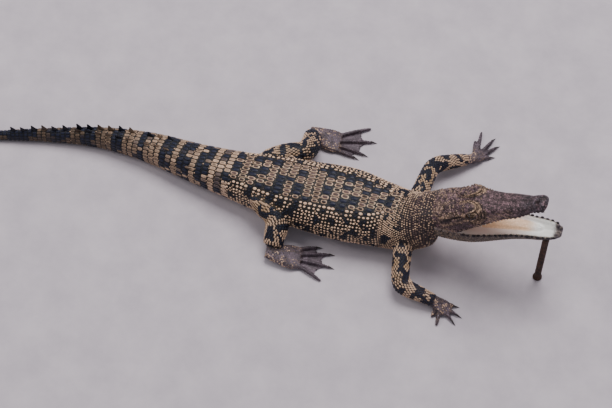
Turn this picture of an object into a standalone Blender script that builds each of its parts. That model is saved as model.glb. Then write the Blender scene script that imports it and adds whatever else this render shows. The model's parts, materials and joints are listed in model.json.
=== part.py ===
"""A juvenile saltwater crocodile at life size, resting with its head raised and its jaws apart.

It is built in a body frame: origin on the floor under the hips, +X towards the head, +Y to the
animal's left, +Z up. At the end one empty carries everything so that the origin of the world is
the bottom centre of the whole model. Tables are in millimetres, and MM turns them into metres.
"""
import bisect

import bpy
from math import cos, sin, pi, radians, exp, atan2
from mathutils import Matrix, Vector

MM = 0.001
GAP = 0.3 * MM                 # clearance between neighbouring pieces
CUT = GAP / MM / 2             # what each of two neighbours gives way at a cut
FLOOR = 0.0                    # everything below this height is flattened onto it

# ---- driving dimensions ------------------------------------------------------------------
HEAD_LENGTH = 86.0             # occiput to tip of snout
HEAD_WIDTH = 0.93              # factor on the skull's half-widths below
OCCIPUT = (139.0, -3.8, 68.0)  # top of the skull's rear edge
HEAD_YAW, HEAD_PITCH, HEAD_ROLL = -3.6, 33.5, 9.0     # degrees
GAPE = 25.5                    # angle between the jaws, degrees
JAW_HINGE = (-0.08, -0.19)     # forward and up from the occiput, in head lengths

# Midline of the body from tail tip to neck: x, y, underside, back, half-width, squareness.
BODY = [(-292, -35, 0, 3.4, 1.4, 2.0), (-262, -23, 0, 6.6, 2.6, 2.2),
        (-228, -12, 0, 9.6, 3.9, 2.4), (-188, -0.5, 0, 13.2, 5.4, 2.6),
        (-148, 7.8, 0, 18.0, 8.0, 2.7), (-105, 9, 0, 24.0, 12.2, 2.6),
        (-60, 4, 0, 30.0, 16.8, 2.5), (-26, 1.2, 0, 35.0, 21.0, 2.4),
        (0, 0, 0, 38.5, 25.0, 2.4), (26, -1.4, 0, 40.5, 29.0, 2.3),
        (64, -0.2, 0, 41.5, 31.8, 2.3), (90, -1.0, 0, 42.0, 27.8, 2.3),
        (107, -2.2, 0.3, 44.5, 24.8, 2.3), (117, -3.0, 4.0, 48.0, 23.0, 2.3),
        (126, -3.4, 11.5, 53.0, 21.0, 2.3), (133, -3.5, 22, 58.0, 19.4, 2.4)]
NECK_LEAN = [(98, 0), (112, 8), (124, 19), (133, 28)]   # degrees the neck's sections lean back
NECK_MOUTH = (-.165, .158, .208)  # last section, in head lengths: middle, half height and width

NECK_START = 113.0
NECK_END = 132.0
TAIL_START = -16.0
TAIL_CUTS = [-64.0, -114.0, -168.0, -224.0]
TAIL_TIP = -291.0

# Upright crest scales: two rows along the tail's root, one row along its end.
CREST_JOIN = -180.0
CREST_STEP = [(-290, 6.2), (-210, 8.2), (-120, 8.7), (-16, 8.0)]
CREST_HEIGHT = [(-291, 2.6), (-262, 4.6), (-228, 5.6), (-188, 6.8), (-150, 5.8), (-105, 3.8),
                (-40, 1.8)]
CREST_THICK = 1.0

# Skull and upper jaw in head lengths: forward, half-width at the teeth, half-width on top,
# height of the top, height of the tooth line.
SKULL = [(-0.10, .205, .176, -.022, -.262), (0.00, .216, .182, .000, -.262),
         (0.12, .214, .176, .002, -.254), (0.24, .202, .164, .004, -.226),
         (0.35, .184, .152, .004, -.202), (0.46, .160, .124, -.026, -.190),
         (0.57, .138, .104, -.054, -.182), (0.68, .130, .096, -.070, -.182),
         (0.78, .108, .080, -.080, -.170), (0.865, .085, .066, -.082, -.156),
         (0.93, .095, .072, -.074, -.160), (0.975, .080, .058, -.080, -.150),
         (1.00, .050, .038, -.096, -.134)]
ORBIT = (0.300, .118, .072, .056, .042)      # forward, side, reach forward, reach aside, rise
NOSTRIL = (0.935, .0, .040, .050, .009)

# Lower jaw in head lengths: forward of the hinge, half-width at the teeth, rim, depth below it.
JAW = [(-0.06, .210, .010, .212), (0.08, .222, .012, .220), (0.22, .212, .000, .212),
       (0.36, .188, -.004, .184), (0.50, .156, .000, .146), (0.64, .128, .002, .108),
       (0.78, .110, .002, .082), (0.89, .104, .006, .066), (0.98, .084, .006, .052),
       (1.05, .046, .000, .032)]
JOWL = 0.15                    # bulge of the jaw's sides below the lip
MOUTH_TROUGH = 0.030           # depth of the mouth's floor below the lower teeth
TONGUE = [(0.20, .070), (0.34, .098), (0.50, .088), (0.66, .068), (0.80, .046), (0.86, .020)]
TONGUE_TOP = -0.004

EYE_RADIUS = 0.050
EYE_CENTRE = (0.300, .112, -.050)

UPPER_TEETH, LOWER_TEETH = 14, 13
TOOTH_LENGTH = 0.021
TOOTH_RADIUS = 0.0075

SHAFT_RADIUS = 2.6             # upright rod under the lower jaw
FOOT_RADIUS = 3.7
FOOT_THICK = 1.6
ROD_PLACE = (220.7, -7.0)

# Limbs: points along the bone (x, y, z) with the radius there; y is as it lies, left positive.
ARMS = {
    "right": dict(bone=[(112, -11, 25, 8.2), (116, -24, 21.5, 8.0), (119, -39, 17, 7.7),
                        (123.3, -52.5, 12, 7.3), (137, -54.3, 10, 6.9), (150.5, -55.6, 7.5, 5.5)],
                  palm=[(149.5, -55.4, 6.8, 5.0, 4.2), (155.5, -56.4, 4.8, 6.4, 3.6),
                        (160.5, -57.6, 3.2, 6.4, 2.7), (163.5, -58.4, 2.4, 4.8, 1.8)],
                  toes=[(160, -53, 170.3, -51.8), (161, -57, 174.3, -60.3),
                        (160, -59.5, 171.2, -68.2), (156, -60, 157.0, -72.4),
                        (153, -58.5, 151.6, -66.6)]),
    "left": dict(bone=[(113, 9, 25, 8.0), (115.5, 26, 22, 7.7), (116.5, 43, 18.5, 7.3),
                       (119, 60.5, 13, 7.1), (130.8, 70.0, 10.5, 6.8), (143, 78.7, 7.6, 5.3)],
                 palm=[(141.8, 77.8, 6.8, 4.9, 4.2), (146.5, 82.8, 4.8, 5.4, 3.6),
                       (150.2, 87.6, 3.2, 5.4, 2.7), (152.2, 90.4, 2.4, 4.2, 1.8)],
                 toes=[(152, 85.5, 162.8, 91.2), (152.5, 89, 163.6, 103.2),
                       (150.5, 91, 158.4, 109.9), (147.5, 91, 145.8, 111.8),
                       (145, 89.5, 142.6, 102.2)]),
}
LEGS = {
    "right": dict(bone=[(-9, -5, 20, 9.4), (-3, -15, 21.5, 10.8), (5, -21.5, 21.5, 10.6),
                        (15, -27.5, 19.5, 9.9), (17, -38, 14.4, 9.4), (16.4, -48, 9.4, 7.6)],
                  palm=[(13.2, -52.0, 6.4, 5.2, 4.8), (22, -51.6, 5.4, 7.8, 4.4),
                        (32, -49.6, 3.6, 11.0, 3.2), (40.5, -47.6, 2.4, 10.0, 1.9)],
                  toes=[(36, -40.5, 54.0, -32.6), (38.5, -44.6, 65.4, -36.2),
                        (40, -49.3, 68.4, -48.2), (39.5, -54.2, 61.0, -61.8)]),
    "left": dict(bone=[(-13, 6, 20, 9.4), (-7, 18, 21.5, 10.4), (4, 29, 21.5, 9.8),
                       (17.5, 38.5, 19.5, 8.9), (18, 51, 14.2, 8.6), (15.2, 63.0, 9.2, 6.9)],
                 palm=[(11.6, 66.6, 6.0, 5.0, 4.3), (20, 66.2, 5.2, 7.6, 4.0),
                       (30, 65.6, 3.6, 10.6, 3.2), (38.5, 65.8, 2.4, 10.0, 1.9)],
                 toes=[(34.5, 58.2, 57.6, 55.4), (38, 62.6, 64.0, 60.6),
                       (38.5, 67.6, 67.2, 75.8), (36.5, 73.0, 58.4, 87.4)]),
}
LIMB_STEP = 5.4                # distance between the sections of a limb
LIMB_SPLIT = 3                 # index of the elbow or knee among the points of the bone
TOE_RADIUS = [(0.0, 1.9), (0.55, 1.65), (0.9, 1.35), (1.0, 0.9)]
CLAWED_TOES = 3
CLAW_LENGTH = 4.0
WEB_REACH = 0.72               # how far along the hind toes the web runs
WEB_THICK = 1.0

COLOURS = {
    "hide": ((.055, .050, .045), .55), "hide_head": ((.120, .095, .095), .5),
    "lining": ((.72, .60, .50), .45), "eye": ((.05, .04, .02), .1),
    "claw": ((.05, .04, .04), .35), "rust": ((.07, .035, .02), .8),
}


def curve(table, at):
    """Smooth value between the rows of a table whose first column rises; the rest are values."""
    keys = [row[0] for row in table]
    i = min(max(bisect.bisect_right(keys, at) - 1, 0), len(keys) - 2)

    def slope(k):
        a, b = max(k - 1, 0), min(k + 1, len(keys) - 1)
        return [(q - p) / (keys[b] - keys[a]) for p, q in zip(table[a][1:], table[b][1:])]

    span = keys[i + 1] - keys[i]
    t = min(max((at - keys[i]) / span, 0.0), 1.0)
    mix = (2*t**3 - 3*t**2 + 1, t**3 - 2*t**2 + t, 3*t**2 - 2*t**3, t**3 - t**2)
    rows = zip(table[i][1:], slope(i), table[i + 1][1:], slope(i + 1))
    values = [mix[0]*p + mix[1]*span*m + mix[2]*q + mix[3]*span*n for p, m, q, n in rows]
    return values if len(values) > 1 else values[0]


def spread(first, last, step):
    """Evenly spaced numbers from first to last, no more than step apart."""
    count = max(2, int(abs(last - first) / step + 1.5))
    return [first + (last - first) * i / (count - 1) for i in range(count)]


def oval(sides, squareness, under=None):
    """Unit points round a rounded square, right side first and then its underside."""
    for k in range(sides):
        c, s = cos(2*pi*k/sides), sin(2*pi*k/sides)
        power = 2.0 / (under if under and s > 0 else squareness)
        yield abs(c)**power * (1 if c >= 0 else -1), abs(s)**power * (1 if s >= 0 else -1)


def bump(x, y, spot):
    """Height of a round swelling at a place on the skull, the same on both sides."""
    return spot[4] * exp(-((x - spot[0]) / spot[2])**2 - ((abs(y) - spot[1]) / spot[3])**2)


# ---- making objects ----------------------------------------------------------------------
for old in list(bpy.data.objects):
    bpy.data.objects.remove(old)
PARTS = bpy.data.collections.new("saltwater_crocodile")
TOOLS = bpy.data.collections.new("cutters")
bpy.context.scene.collection.children.link(PARTS)
bpy.context.scene.collection.children.link(TOOLS)
CARRIER = bpy.data.objects.new("model_origin", None)
PARTS.objects.link(CARRIER)


def material(name):
    found = bpy.data.materials.get(name)
    if found:
        return found
    made = bpy.data.materials.new(name)
    made.use_nodes = True
    shader = made.node_tree.nodes["Principled BSDF"]
    colour, roughness = COLOURS[name]
    shader.inputs["Base Color"].default_value = (*colour, 1)
    shader.inputs["Roughness"].default_value = roughness
    shader.inputs["Metallic"].default_value = 0.6 if name == "rust" else 0.0
    return made


def place(name, mesh, finish, tool=False):
    """Link a mesh as a visible piece, or as a hidden cutter."""
    made = bpy.data.objects.new(name, mesh)
    mesh.materials.append(material(finish))
    (TOOLS if tool else PARTS).objects.link(made)
    made.parent = CARRIER
    if tool:
        made.hide_render = True
        made.display_type = "WIRE"
    return made


def loft(name, rings, finish="hide", tool=False, floor=True):
    """Close a skin round a row of equal rings, with a flat cap on each end."""
    sides = len(rings[0])
    points = [Vector(p) * MM for ring in rings for p in ring]
    if floor:
        for p in points:
            p.z = max(p.z, FLOOR)
    faces = [tuple(reversed(range(sides)))]
    for r in range(len(rings) - 1):
        for k in range(sides):
            a, b = r*sides + k, r*sides + (k + 1) % sides
            faces.append((a, b, b + sides, a + sides))
    faces.append(tuple(range((len(rings) - 1)*sides, len(rings)*sides)))
    mesh = bpy.data.meshes.new(name)
    mesh.from_pydata(points, [], faces)
    mesh.shade_smooth()
    mesh.set_sharp_from_angle(angle=radians(50))
    return place(name, mesh, finish, tool)


def boolean(piece, other, operation):
    step = piece.modifiers.new(operation.lower() + "_" + other.name, "BOOLEAN")
    step.operation = operation
    step.solver = "EXACT"
    step.object = other


# ---- trunk, neck and tail ----------------------------------------------------------------
def body_ring(x, sides, grow=0.0):
    y, low, high, half, square = curve(BODY, x)
    front, back = min(x + 1, BODY[-1][0]), max(x - 1, BODY[0][0])
    heading = atan2(curve(BODY, front)[0] - curve(BODY, back)[0], front - back)
    lean = radians(curve(NECK_LEAN, x) if x > NECK_LEAN[0][0] else 0.0)
    forward = Vector((cos(heading), sin(heading), 0))
    left = Vector((-sin(heading), cos(heading), 0))
    up = Vector((0, 0, 1)) * cos(lean) - forward * sin(lean)
    centre = Vector((x, y, (low + high) / 2))
    rise = (high - low) / 2 / cos(lean) + grow
    drop = rise + (0.6 if low <= 0 else 0.0)
    return [centre + left * (half + grow) * -c + up * (rise if s > 0 else drop) * -s
            for c, s in oval(sides, square)]


def body_length(name, first, last, sides, step):
    return loft(name, [body_ring(x, sides) for x in spread(first, last, step)])


def neck_rings(first, sides, grow=0.0):
    """Sections from the shoulders to a last one that lies against the skull and the lower jaw."""
    middle, half_height, half_width = NECK_MOUTH
    spare, gap = grow / HEAD_LENGTH, GAP / MM / HEAD_LENGTH
    jaw_tilt = radians(GAPE)
    last = []
    for c, s in oval(sides, 2.4):
        z = middle - s * (half_height + spare)
        jaw_back = JAW_HINGE[0] + (JAW[0][0] + (z - JAW_HINGE[1]) * sin(jaw_tilt)) / cos(jaw_tilt)
        x = min(SKULL[0][0], jaw_back) - gap
        last.append(from_head((x, -c * (half_width + spare), z)))
    return [body_ring(x, sides, grow) for x in spread(first, NECK_END, 5.0)] + [last]


def crest(name, first, last, side):
    """A saw-edged blade on the tail; side is -1 or 1 for the double rows, 0 for the single."""
    rings = []
    x = first
    while x > last:
        pitch = curve(CREST_STEP, x)
        for along, share in ((0.0, 0.12), (0.74, 1.0)):
            at = x - pitch * along
            if at < last:
                break
            y, low, high, half, square = curve(BODY, at)
            tall = curve(CREST_HEIGHT, at) * share
            join = min(max((at - CREST_JOIN) / 26, 0.0), 1.0)
            aside = side * (half * 0.44 * join + 0.5 * (1 - join) * (side != 0))
            top = high - (abs(aside) / half)**2 * high * 0.16 + tall
            foot = high * 0.72
            wide = CREST_THICK / 2
            ring = [(at, y + aside - wide, foot), (at, y + aside - wide, top),
                    (at, y + aside + wide, top), (at, y + aside + wide, foot)]
            rings.append(ring)
        x -= pitch
    return loft(name, rings, tool=True)


def make_body():
    loft("neck", neck_rings(NECK_START + CUT, 18))
    body_length("trunk", TAIL_START + CUT, NECK_START - CUT, 18, 9.0)
    cuts = [TAIL_START] + TAIL_CUTS + [TAIL_TIP]
    for number, (near, far) in enumerate(zip(cuts, cuts[1:]), start=1):
        piece = body_length(f"tail_{number}", far + CUT, near - CUT, 12, 9.0)
        rows = (-1, 1) if far >= CREST_JOIN else (0,)
        for side in rows:
            blade = crest(f"crest_{number}_{side + 1}", near - 1.0, far + 1.0, side)
            boolean(piece, blade, "UNION")


# ---- head --------------------------------------------------------------------------------
def turned(yaw, pitch, roll):
    """Matrix whose columns point forward, left and up for a head turned this way."""
    return (Matrix.Rotation(radians(yaw), 3, "Z") @ Matrix.Rotation(radians(-pitch), 3, "Y")
            @ Matrix.Rotation(radians(roll), 3, "X"))


HEAD_TURN = turned(HEAD_YAW, HEAD_PITCH, HEAD_ROLL)
JAW_TURN = HEAD_TURN @ Matrix.Rotation(radians(GAPE), 3, "Y")
HINGE = Vector(OCCIPUT) + HEAD_TURN @ Vector((JAW_HINGE[0], 0, JAW_HINGE[1])) * HEAD_LENGTH


def from_head(point):
    return Vector(OCCIPUT) + HEAD_TURN @ (Vector(point) * HEAD_LENGTH)


def from_jaw(point):
    return HINGE + JAW_TURN @ (Vector(point) * HEAD_LENGTH)


def skull_ring(x, sides, grow=0.0):
    wide, narrow, high, low = curve(SKULL, x)
    middle, half = (high + low) / 2, (high - low) / 2 + grow
    ring = []
    for c, s in oval(sides, 2.8, 6.0):
        width = (wide + (narrow - wide) * (1 - s) / 2) * HEAD_WIDTH + grow
        y, z = -c * width, middle - s * half
        if z > middle:
            z += bump(x, y, ORBIT) + bump(x, y, NOSTRIL)
        ring.append(from_head((x, y, z)))
    return ring


def jaw_ring(x, sides, grow=0.0):
    half, rim, depth = curve(JAW, x)
    half = half * HEAD_WIDTH + grow
    ring = []
    for c, s in oval(sides, 2.6, 3.4):
        y = -c * half
        if s > 0:
            z, y = rim - s * (depth + grow), y * (1 + JOWL * sin(pi * s) - 0.08 * s)
        else:
            trough = max(0.0, 1 - (c / 0.78)**2)
            z = rim + grow + 0.006 * -s - MOUTH_TROUGH * trough
        ring.append(from_jaw((x, y, z)))
    return ring


def teeth(name, count, ring_of, first, last):
    """Cones along both edges of a jaw, in one hidden object to join to it."""
    rings_of_teeth = []
    for number in range(count):
        x = first + (last - first) * (number + 0.5) / count
        swell = 1.0 + 0.45 * exp(-((number - count * 0.72) / 1.3)**2)
        for side in (-1, 1):
            foot, tip = ring_of(x, side, swell)
            rings_of_teeth.append((foot, tip, TOOTH_RADIUS * HEAD_LENGTH * swell * MM))
    points, faces = [], []
    for foot, tip, radius in rings_of_teeth:
        axis = (tip - foot).normalized()
        across = axis.orthogonal().normalized()
        start = len(points)
        for k in range(4):
            turn = Matrix.Rotation(pi * k / 2, 3, axis)
            points.append(foot * MM + turn @ across * radius)
        points.append(tip * MM)
        faces.append(tuple(start + k for k in reversed(range(4))))
        faces += [(start + k, start + (k + 1) % 4, start + 4) for k in range(4)]
    mesh = bpy.data.meshes.new(name)
    mesh.from_pydata(points, [], faces)
    return place(name, mesh, "lining", tool=True)


def upper_tooth(x, side, swell):
    wide, narrow, high, low = curve(SKULL, x)
    edge = side * (wide * HEAD_WIDTH - 0.020)
    return (from_head((x, edge, low + 0.020)),
            from_head((x, edge + side * 0.008, low - TOOTH_LENGTH * swell)))


def lower_tooth(x, side, swell):
    half, rim, depth = curve(JAW, x)
    edge = side * (half * HEAD_WIDTH - 0.017)
    return (from_jaw((x, edge, rim - 0.022)),
            from_jaw((x, edge + side * 0.004, rim + TOOTH_LENGTH * swell * 0.8)))


def make_head():
    grow = GAP / MM / HEAD_LENGTH
    stations = spread(SKULL[0][0], 0.955, 0.055) + [0.985, 1.0]
    head = loft("head", [skull_ring(x, 20) for x in stations], "hide_head", floor=False)
    outer = [stations[0] - grow] + stations[1:-1] + [stations[-1] + grow]
    clear_head = loft("head_clearance", [skull_ring(x, 20, grow) for x in outer],
                      tool=True, floor=False)
    boolean(head, teeth("upper_teeth", UPPER_TEETH, upper_tooth, 0.30, 0.985), "UNION")

    stations = spread(JAW[0][0], 1.0, 0.072) + [1.05]
    jaw = loft("lower_jaw", [jaw_ring(x, 16) for x in stations], "hide_head", floor=False)
    outer = [stations[0] - grow] + stations[1:-1] + [stations[-1] + grow]
    clear_jaw = loft("jaw_clearance", [jaw_ring(x, 16, grow) for x in outer],
                     tool=True, floor=False)
    boolean(jaw, clear_head, "DIFFERENCE")
    boolean(jaw, teeth("lower_teeth", LOWER_TEETH, lower_tooth, 0.34, 1.0), "UNION")
    for tool in (clear_head, clear_jaw):
        boolean(bpy.data.objects["neck"], tool, "DIFFERENCE")

    rings = []
    for x in spread(TONGUE[0][0], TONGUE[-1][0], 0.07):
        half = curve(TONGUE, x)
        rim = curve(JAW, x)[1]
        ring = [from_jaw((x, -c * half, rim + TONGUE_TOP - (MOUTH_TROUGH + 0.01) * (s + 1) / 2))
                for c, s in oval(10, 2.6)]
        rings.append(ring)
    tongue = loft("tongue", rings, "lining", floor=False)
    boolean(tongue, clear_jaw, "DIFFERENCE")

    for side, name in ((1, "left"), (-1, "right")):
        centre = from_head((EYE_CENTRE[0], side * EYE_CENTRE[1], EYE_CENTRE[2])) * MM
        for radius, tool in ((EYE_RADIUS * HEAD_LENGTH * MM, False),
                             (EYE_RADIUS * HEAD_LENGTH * MM + GAP, True)):
            bpy.ops.mesh.primitive_uv_sphere_add(segments=12, ring_count=8, radius=radius)
            ball = bpy.context.object
            mesh = ball.data
            bpy.data.objects.remove(ball)
            mesh.shade_smooth()
            ball = place(("eye_socket_" if tool else "eye_") + name, mesh, "eye", tool)
            ball.location = centre
            if tool:
                boolean(head, ball, "DIFFERENCE")


# ---- limbs -------------------------------------------------------------------------------
def measured(points):
    """The points of a path with the distance travelled put before each."""
    reach, path = 0.0, [(0.0, *points[0])]
    for p, q in zip(points, points[1:]):
        reach += (Vector(q[:3]) - Vector(p[:3])).length
        path.append((reach, *q))
    return path


def path_rings(path, first, last, step, grow=0.0):
    """Round sections across a path whose rows end in a radius, or in half width and height."""
    rings = []
    for at in spread(first, last, step):
        here = curve(path, at)
        ahead = Vector(curve(path, min(at + 0.6, path[-1][0]))[:3])
        behind = Vector(curve(path, max(at - 0.6, 0.0))[:3])
        along = (ahead - behind).normalized()
        left = Vector((-along.y, along.x, 0)).normalized()
        up = along.cross(left)
        wide, tall = here[3] + grow, here[-1] + grow
        rings.append([Vector(here[:3]) + left * -c * wide + up * -s * tall
                      for c, s in oval(10, 2.2)])
    return rings


def limb(name, bone, clear_body, clear_foot, upper, lower):
    """Two lengths of a limb with a thin cut at the elbow or knee."""
    path = measured(bone)
    bend, end = path[LIMB_SPLIT][0], path[-1][0]
    first = loft(f"{upper}_{name}", path_rings(path, 0.0, bend - CUT, LIMB_STEP))
    clear = loft(f"{upper}_clearance_{name}", path_rings(path, 0.0, bend - CUT, LIMB_STEP, GAP / MM),
                 tool=True, floor=False)
    second = loft(f"{lower}_{name}", path_rings(path, bend + CUT, end, LIMB_STEP))
    boolean(first, clear_body, "DIFFERENCE")
    for neighbour in (clear_body, clear, clear_foot):
        boolean(second, neighbour, "DIFFERENCE")


def toe_frame(root, tip):
    """Direction, sideways direction and length of a toe seen from above."""
    along = Vector((tip[0] - root[0], tip[1] - root[1], 0))
    length = along.length
    along.normalize()
    return along, Vector((-along.y, along.x, 0)), length


def make_toe(name, root, tip, clawed):
    """One toe as a hidden piece to join to its foot, ending where its claw begins."""
    along, left, length = toe_frame(root, tip)
    flesh = length - CLAW_LENGTH if clawed else length
    rings = []
    for share in (-0.12, 0.2, 0.5, 0.8, 0.96, 1.0):
        radius = curve(TOE_RADIUS, share)
        height = radius * (1.0 + 0.5 * sin(pi * max(share, 0)))
        centre = Vector((root[0], root[1], height)) + along * flesh * share
        rings.append([centre + left * -c * radius + Vector((0, 0, -s * (radius + 0.3)))
                      for c, s in oval(6, 2.2)])
    return loft(name, rings, tool=True)


def make_claw(name, root, tip):
    """A curved cone that starts a hair's breadth past the toe and ends on the floor."""
    along, left, length = toe_frame(root, tip)
    start = length - CLAW_LENGTH + GAP / MM
    rings = []
    for share in (0.0, 0.35, 0.7, 1.0):
        radius = 0.85 * (1 - share) + 0.18 * share
        height = 0.95 + 0.5 * sin(pi * (0.25 + 0.75 * share)) - 0.75 * share
        centre = Vector((root[0], root[1], height)) + along * (start + (length - start) * share)
        rings.append([centre + left * -c * radius * 0.8 + Vector((0, 0, -s * radius))
                      for c, s in oval(6, 2.0)])
    return loft(name, rings, "claw")


def web(name, toes):
    """Thin skin between the hind toes, scalloped between each pair."""
    roots = [Vector(toe[:2]) for toe in toes]
    ends = [root.lerp(Vector(toe[2:]), WEB_REACH) for root, toe in zip(roots, toes)]
    outline = [ends[0]]
    for first, second, a, b in zip(ends, ends[1:], roots, roots[1:]):
        outline.append(((a + b) / 2).lerp((first + second) / 2, 0.84))
        outline.append(second)
    outline += reversed(roots)
    if sum(p.cross(q) for p, q in zip(outline, outline[1:] + outline[:1])) < 0:
        outline.reverse()
    rings = [[(p.x, p.y, z) for p in outline] for z in (0.35, 0.35 + WEB_THICK)]
    return loft(name, rings, tool=True)


def make_limbs():
    rings = [body_ring(x, 18, GAP / MM) for x in spread(-80, NECK_START - 5, 8.0)]
    rings += neck_rings(NECK_START, 18, GAP / MM)
    clear_body = loft("body_clearance", rings, tool=True, floor=False)
    for limbs, upper, lower, end in ((ARMS, "upper_arm", "forearm", "hand"),
                                     (LEGS, "thigh", "shank", "foot")):
        for side, made in limbs.items():
            sole = measured(made["palm"])
            palm = loft(f"{end}_{side}", path_rings(sole, 0.0, sole[-1][0], 3.0))
            clear = loft(f"{end}_clearance_{side}",
                         path_rings(sole, 0.0, sole[-1][0], 3.0, GAP / MM), tool=True, floor=False)
            limb(side, made["bone"], clear_body, clear, upper, lower)
            for number, toe in enumerate(made["toes"], start=1):
                clawed = number <= CLAWED_TOES
                joined = make_toe(f"{end}_{side}_toe_{number}", toe[:2], toe[2:], clawed)
                boolean(palm, joined, "UNION")
                if clawed:
                    make_claw(f"claw_{end}_{side}_{number}", toe[:2], toe[2:])
            if end == "foot":
                boolean(palm, web(f"web_{side}", made["toes"]), "UNION")


# ---- rod under the jaw -------------------------------------------------------------------
def make_rod():
    """An upright rusty nail standing on its head, whose point carries the lower jaw."""
    along = (ROD_PLACE[0] - HINGE.x) / (JAW_TURN.col[0].x * HEAD_LENGTH)
    rim, depth = curve(JAW, along)[1:]
    top = from_jaw((along, 0, rim - 0.75 * depth)).z
    profile = [(FOOT_RADIUS, 0.0), (FOOT_RADIUS, FOOT_THICK), (SHAFT_RADIUS, FOOT_THICK + 0.6),
               (SHAFT_RADIUS, top)]
    rings = [[(ROD_PLACE[0] + r * c, ROD_PLACE[1] + r * s, z) for c, s in oval(14, 2.0)]
             for r, z in profile]
    rod = loft("stand_jaw_nail", rings, "rust")
    boolean(rod, bpy.data.objects["jaw_clearance"], "DIFFERENCE")


def centre_model():
    """Move the carrier so that the model's box stands on its bottom centre."""
    bpy.context.view_layer.update()
    graph = bpy.context.evaluated_depsgraph_get()
    low, high = Vector((9, 9, 9)), Vector((-9, -9, -9))
    for piece in PARTS.objects:
        if piece.type != "MESH":
            continue
        real = piece.evaluated_get(graph)
        for vertex in real.data.vertices:
            spot = real.matrix_world @ vertex.co
            low = Vector(map(min, low, spot))
            high = Vector(map(max, high, spot))
    CARRIER.location = (-(low.x + high.x) / 2, -(low.y + high.y) / 2, -low.z)


make_body()
make_head()
make_limbs()
make_rod()
centre_model()
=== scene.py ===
# %% [markdown]
# # A young saltwater crocodile at life size
# The animal lies on its belly, about half a metre long, with its head raised and its jaws apart.
# Its solids come ready made in the frame, in metres. This script gives them their looks: one
# closed skin, a coat of solid scales, teeth, eyes, claws and a rusty nail under the jaw.
# Each piece is made in place, so its object stays at the origin and nothing is moved afterwards.

# %% Load the frame
import json
from math import cos, pi, radians, sin

import bmesh
import bpy
import numpy as np
from mathutils import Matrix, Vector, noise
from mathutils.bvhtree import BVHTree
from mathutils.kdtree import KDTree

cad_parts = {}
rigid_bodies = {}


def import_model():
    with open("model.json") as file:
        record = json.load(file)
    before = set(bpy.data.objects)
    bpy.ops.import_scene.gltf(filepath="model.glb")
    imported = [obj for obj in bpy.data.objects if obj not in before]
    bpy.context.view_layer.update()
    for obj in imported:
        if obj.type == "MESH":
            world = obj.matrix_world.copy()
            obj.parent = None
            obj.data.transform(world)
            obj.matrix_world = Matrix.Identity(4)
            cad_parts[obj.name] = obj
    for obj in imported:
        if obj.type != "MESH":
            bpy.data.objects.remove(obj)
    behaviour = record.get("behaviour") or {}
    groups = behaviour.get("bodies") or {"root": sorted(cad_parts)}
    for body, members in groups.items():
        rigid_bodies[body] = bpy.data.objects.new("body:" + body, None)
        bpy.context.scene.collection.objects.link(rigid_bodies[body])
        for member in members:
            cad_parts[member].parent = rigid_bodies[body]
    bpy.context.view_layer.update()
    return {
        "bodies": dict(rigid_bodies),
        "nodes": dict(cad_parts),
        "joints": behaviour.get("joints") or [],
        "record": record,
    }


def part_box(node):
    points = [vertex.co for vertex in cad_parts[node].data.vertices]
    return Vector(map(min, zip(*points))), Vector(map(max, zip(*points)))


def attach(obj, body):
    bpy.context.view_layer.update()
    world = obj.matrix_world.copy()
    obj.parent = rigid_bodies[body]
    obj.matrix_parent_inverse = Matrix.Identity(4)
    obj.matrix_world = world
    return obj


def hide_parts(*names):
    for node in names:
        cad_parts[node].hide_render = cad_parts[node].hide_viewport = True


MM = 0.001
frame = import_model()
nodes = frame["nodes"]

# %% [markdown]
# ## Where the head is
# Everything on the head is placed in its own frame: forward, left and up, counted in head
# lengths from the back of the skull. The turn of the head is a driving dimension, and its place
# is measured from the two eyeballs, so the details stay on the head if it moves. Typing the
# places in metres would be quicker, but each would have to be typed again after such a move.

# %% The head's own frame
HEAD_LENGTH = 86 * MM
HEAD_YAW, HEAD_PITCH, HEAD_ROLL = -3.6, 33.5, 9.0      # degrees
GAPE = 25.5                                            # degrees between the jaws
EYE_AHEAD, EYE_RISE = 0.300, -0.050                    # eyeballs, from the back of the skull
JAW_HINGE = Vector((-0.08, 0, -0.19))


def turned(yaw, pitch, roll):
    return (Matrix.Rotation(radians(yaw), 3, "Z") @ Matrix.Rotation(radians(-pitch), 3, "Y")
            @ Matrix.Rotation(radians(roll), 3, "X"))


def middle(node):
    low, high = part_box(node)
    return (low + high) / 2


HEAD_TURN = turned(HEAD_YAW, HEAD_PITCH, HEAD_ROLL)
JAW_TURN = HEAD_TURN @ Matrix.Rotation(radians(GAPE), 3, "Y")
HEAD_ORIGIN = ((middle("eye_left") + middle("eye_right")) / 2
               - HEAD_TURN @ Vector((EYE_AHEAD, 0, EYE_RISE)) * HEAD_LENGTH)
JAW_ORIGIN = HEAD_ORIGIN + HEAD_TURN @ JAW_HINGE * HEAD_LENGTH


def head_place(x, y, z):
    return HEAD_ORIGIN + HEAD_TURN @ Vector((x, y, z)) * HEAD_LENGTH


def in_head(points):
    """Rows of points as rows of forward, left and up, in head lengths from the skull's back."""
    return (points - np.array(HEAD_ORIGIN)) @ np.array(HEAD_TURN) / HEAD_LENGTH


def in_jaw(points):
    """The same for the lower jaw, from its hinge."""
    return (points - np.array(JAW_ORIGIN)) @ np.array(JAW_TURN) / HEAD_LENGTH


print("head starts at", [round(c, 4) for c in HEAD_ORIGIN])

# %% [markdown]
# ## One skin
# The solids of the flesh are cut into named lengths with thin gaps. A skin has no gaps, so the
# solids are copied, welded, swollen until they touch, and wrapped by a voxel remesh into one
# closed surface. That surface is then smoothed and drawn in again by the depth of the scales
# that will lie on it. The teeth of the solids are taken off the copy first, and their tips
# kept as the places for finer teeth. A tip is found by its shape: the angles of the faces that
# meet there add up to far less than a full turn.

# %% Copies of the flesh
FLESH = sorted(n for n in nodes if not n.startswith(("eye_", "claw_", "stand_")))
TOOTH_SHARP = 1.7               # radians round a tooth's tip, at most


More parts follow.
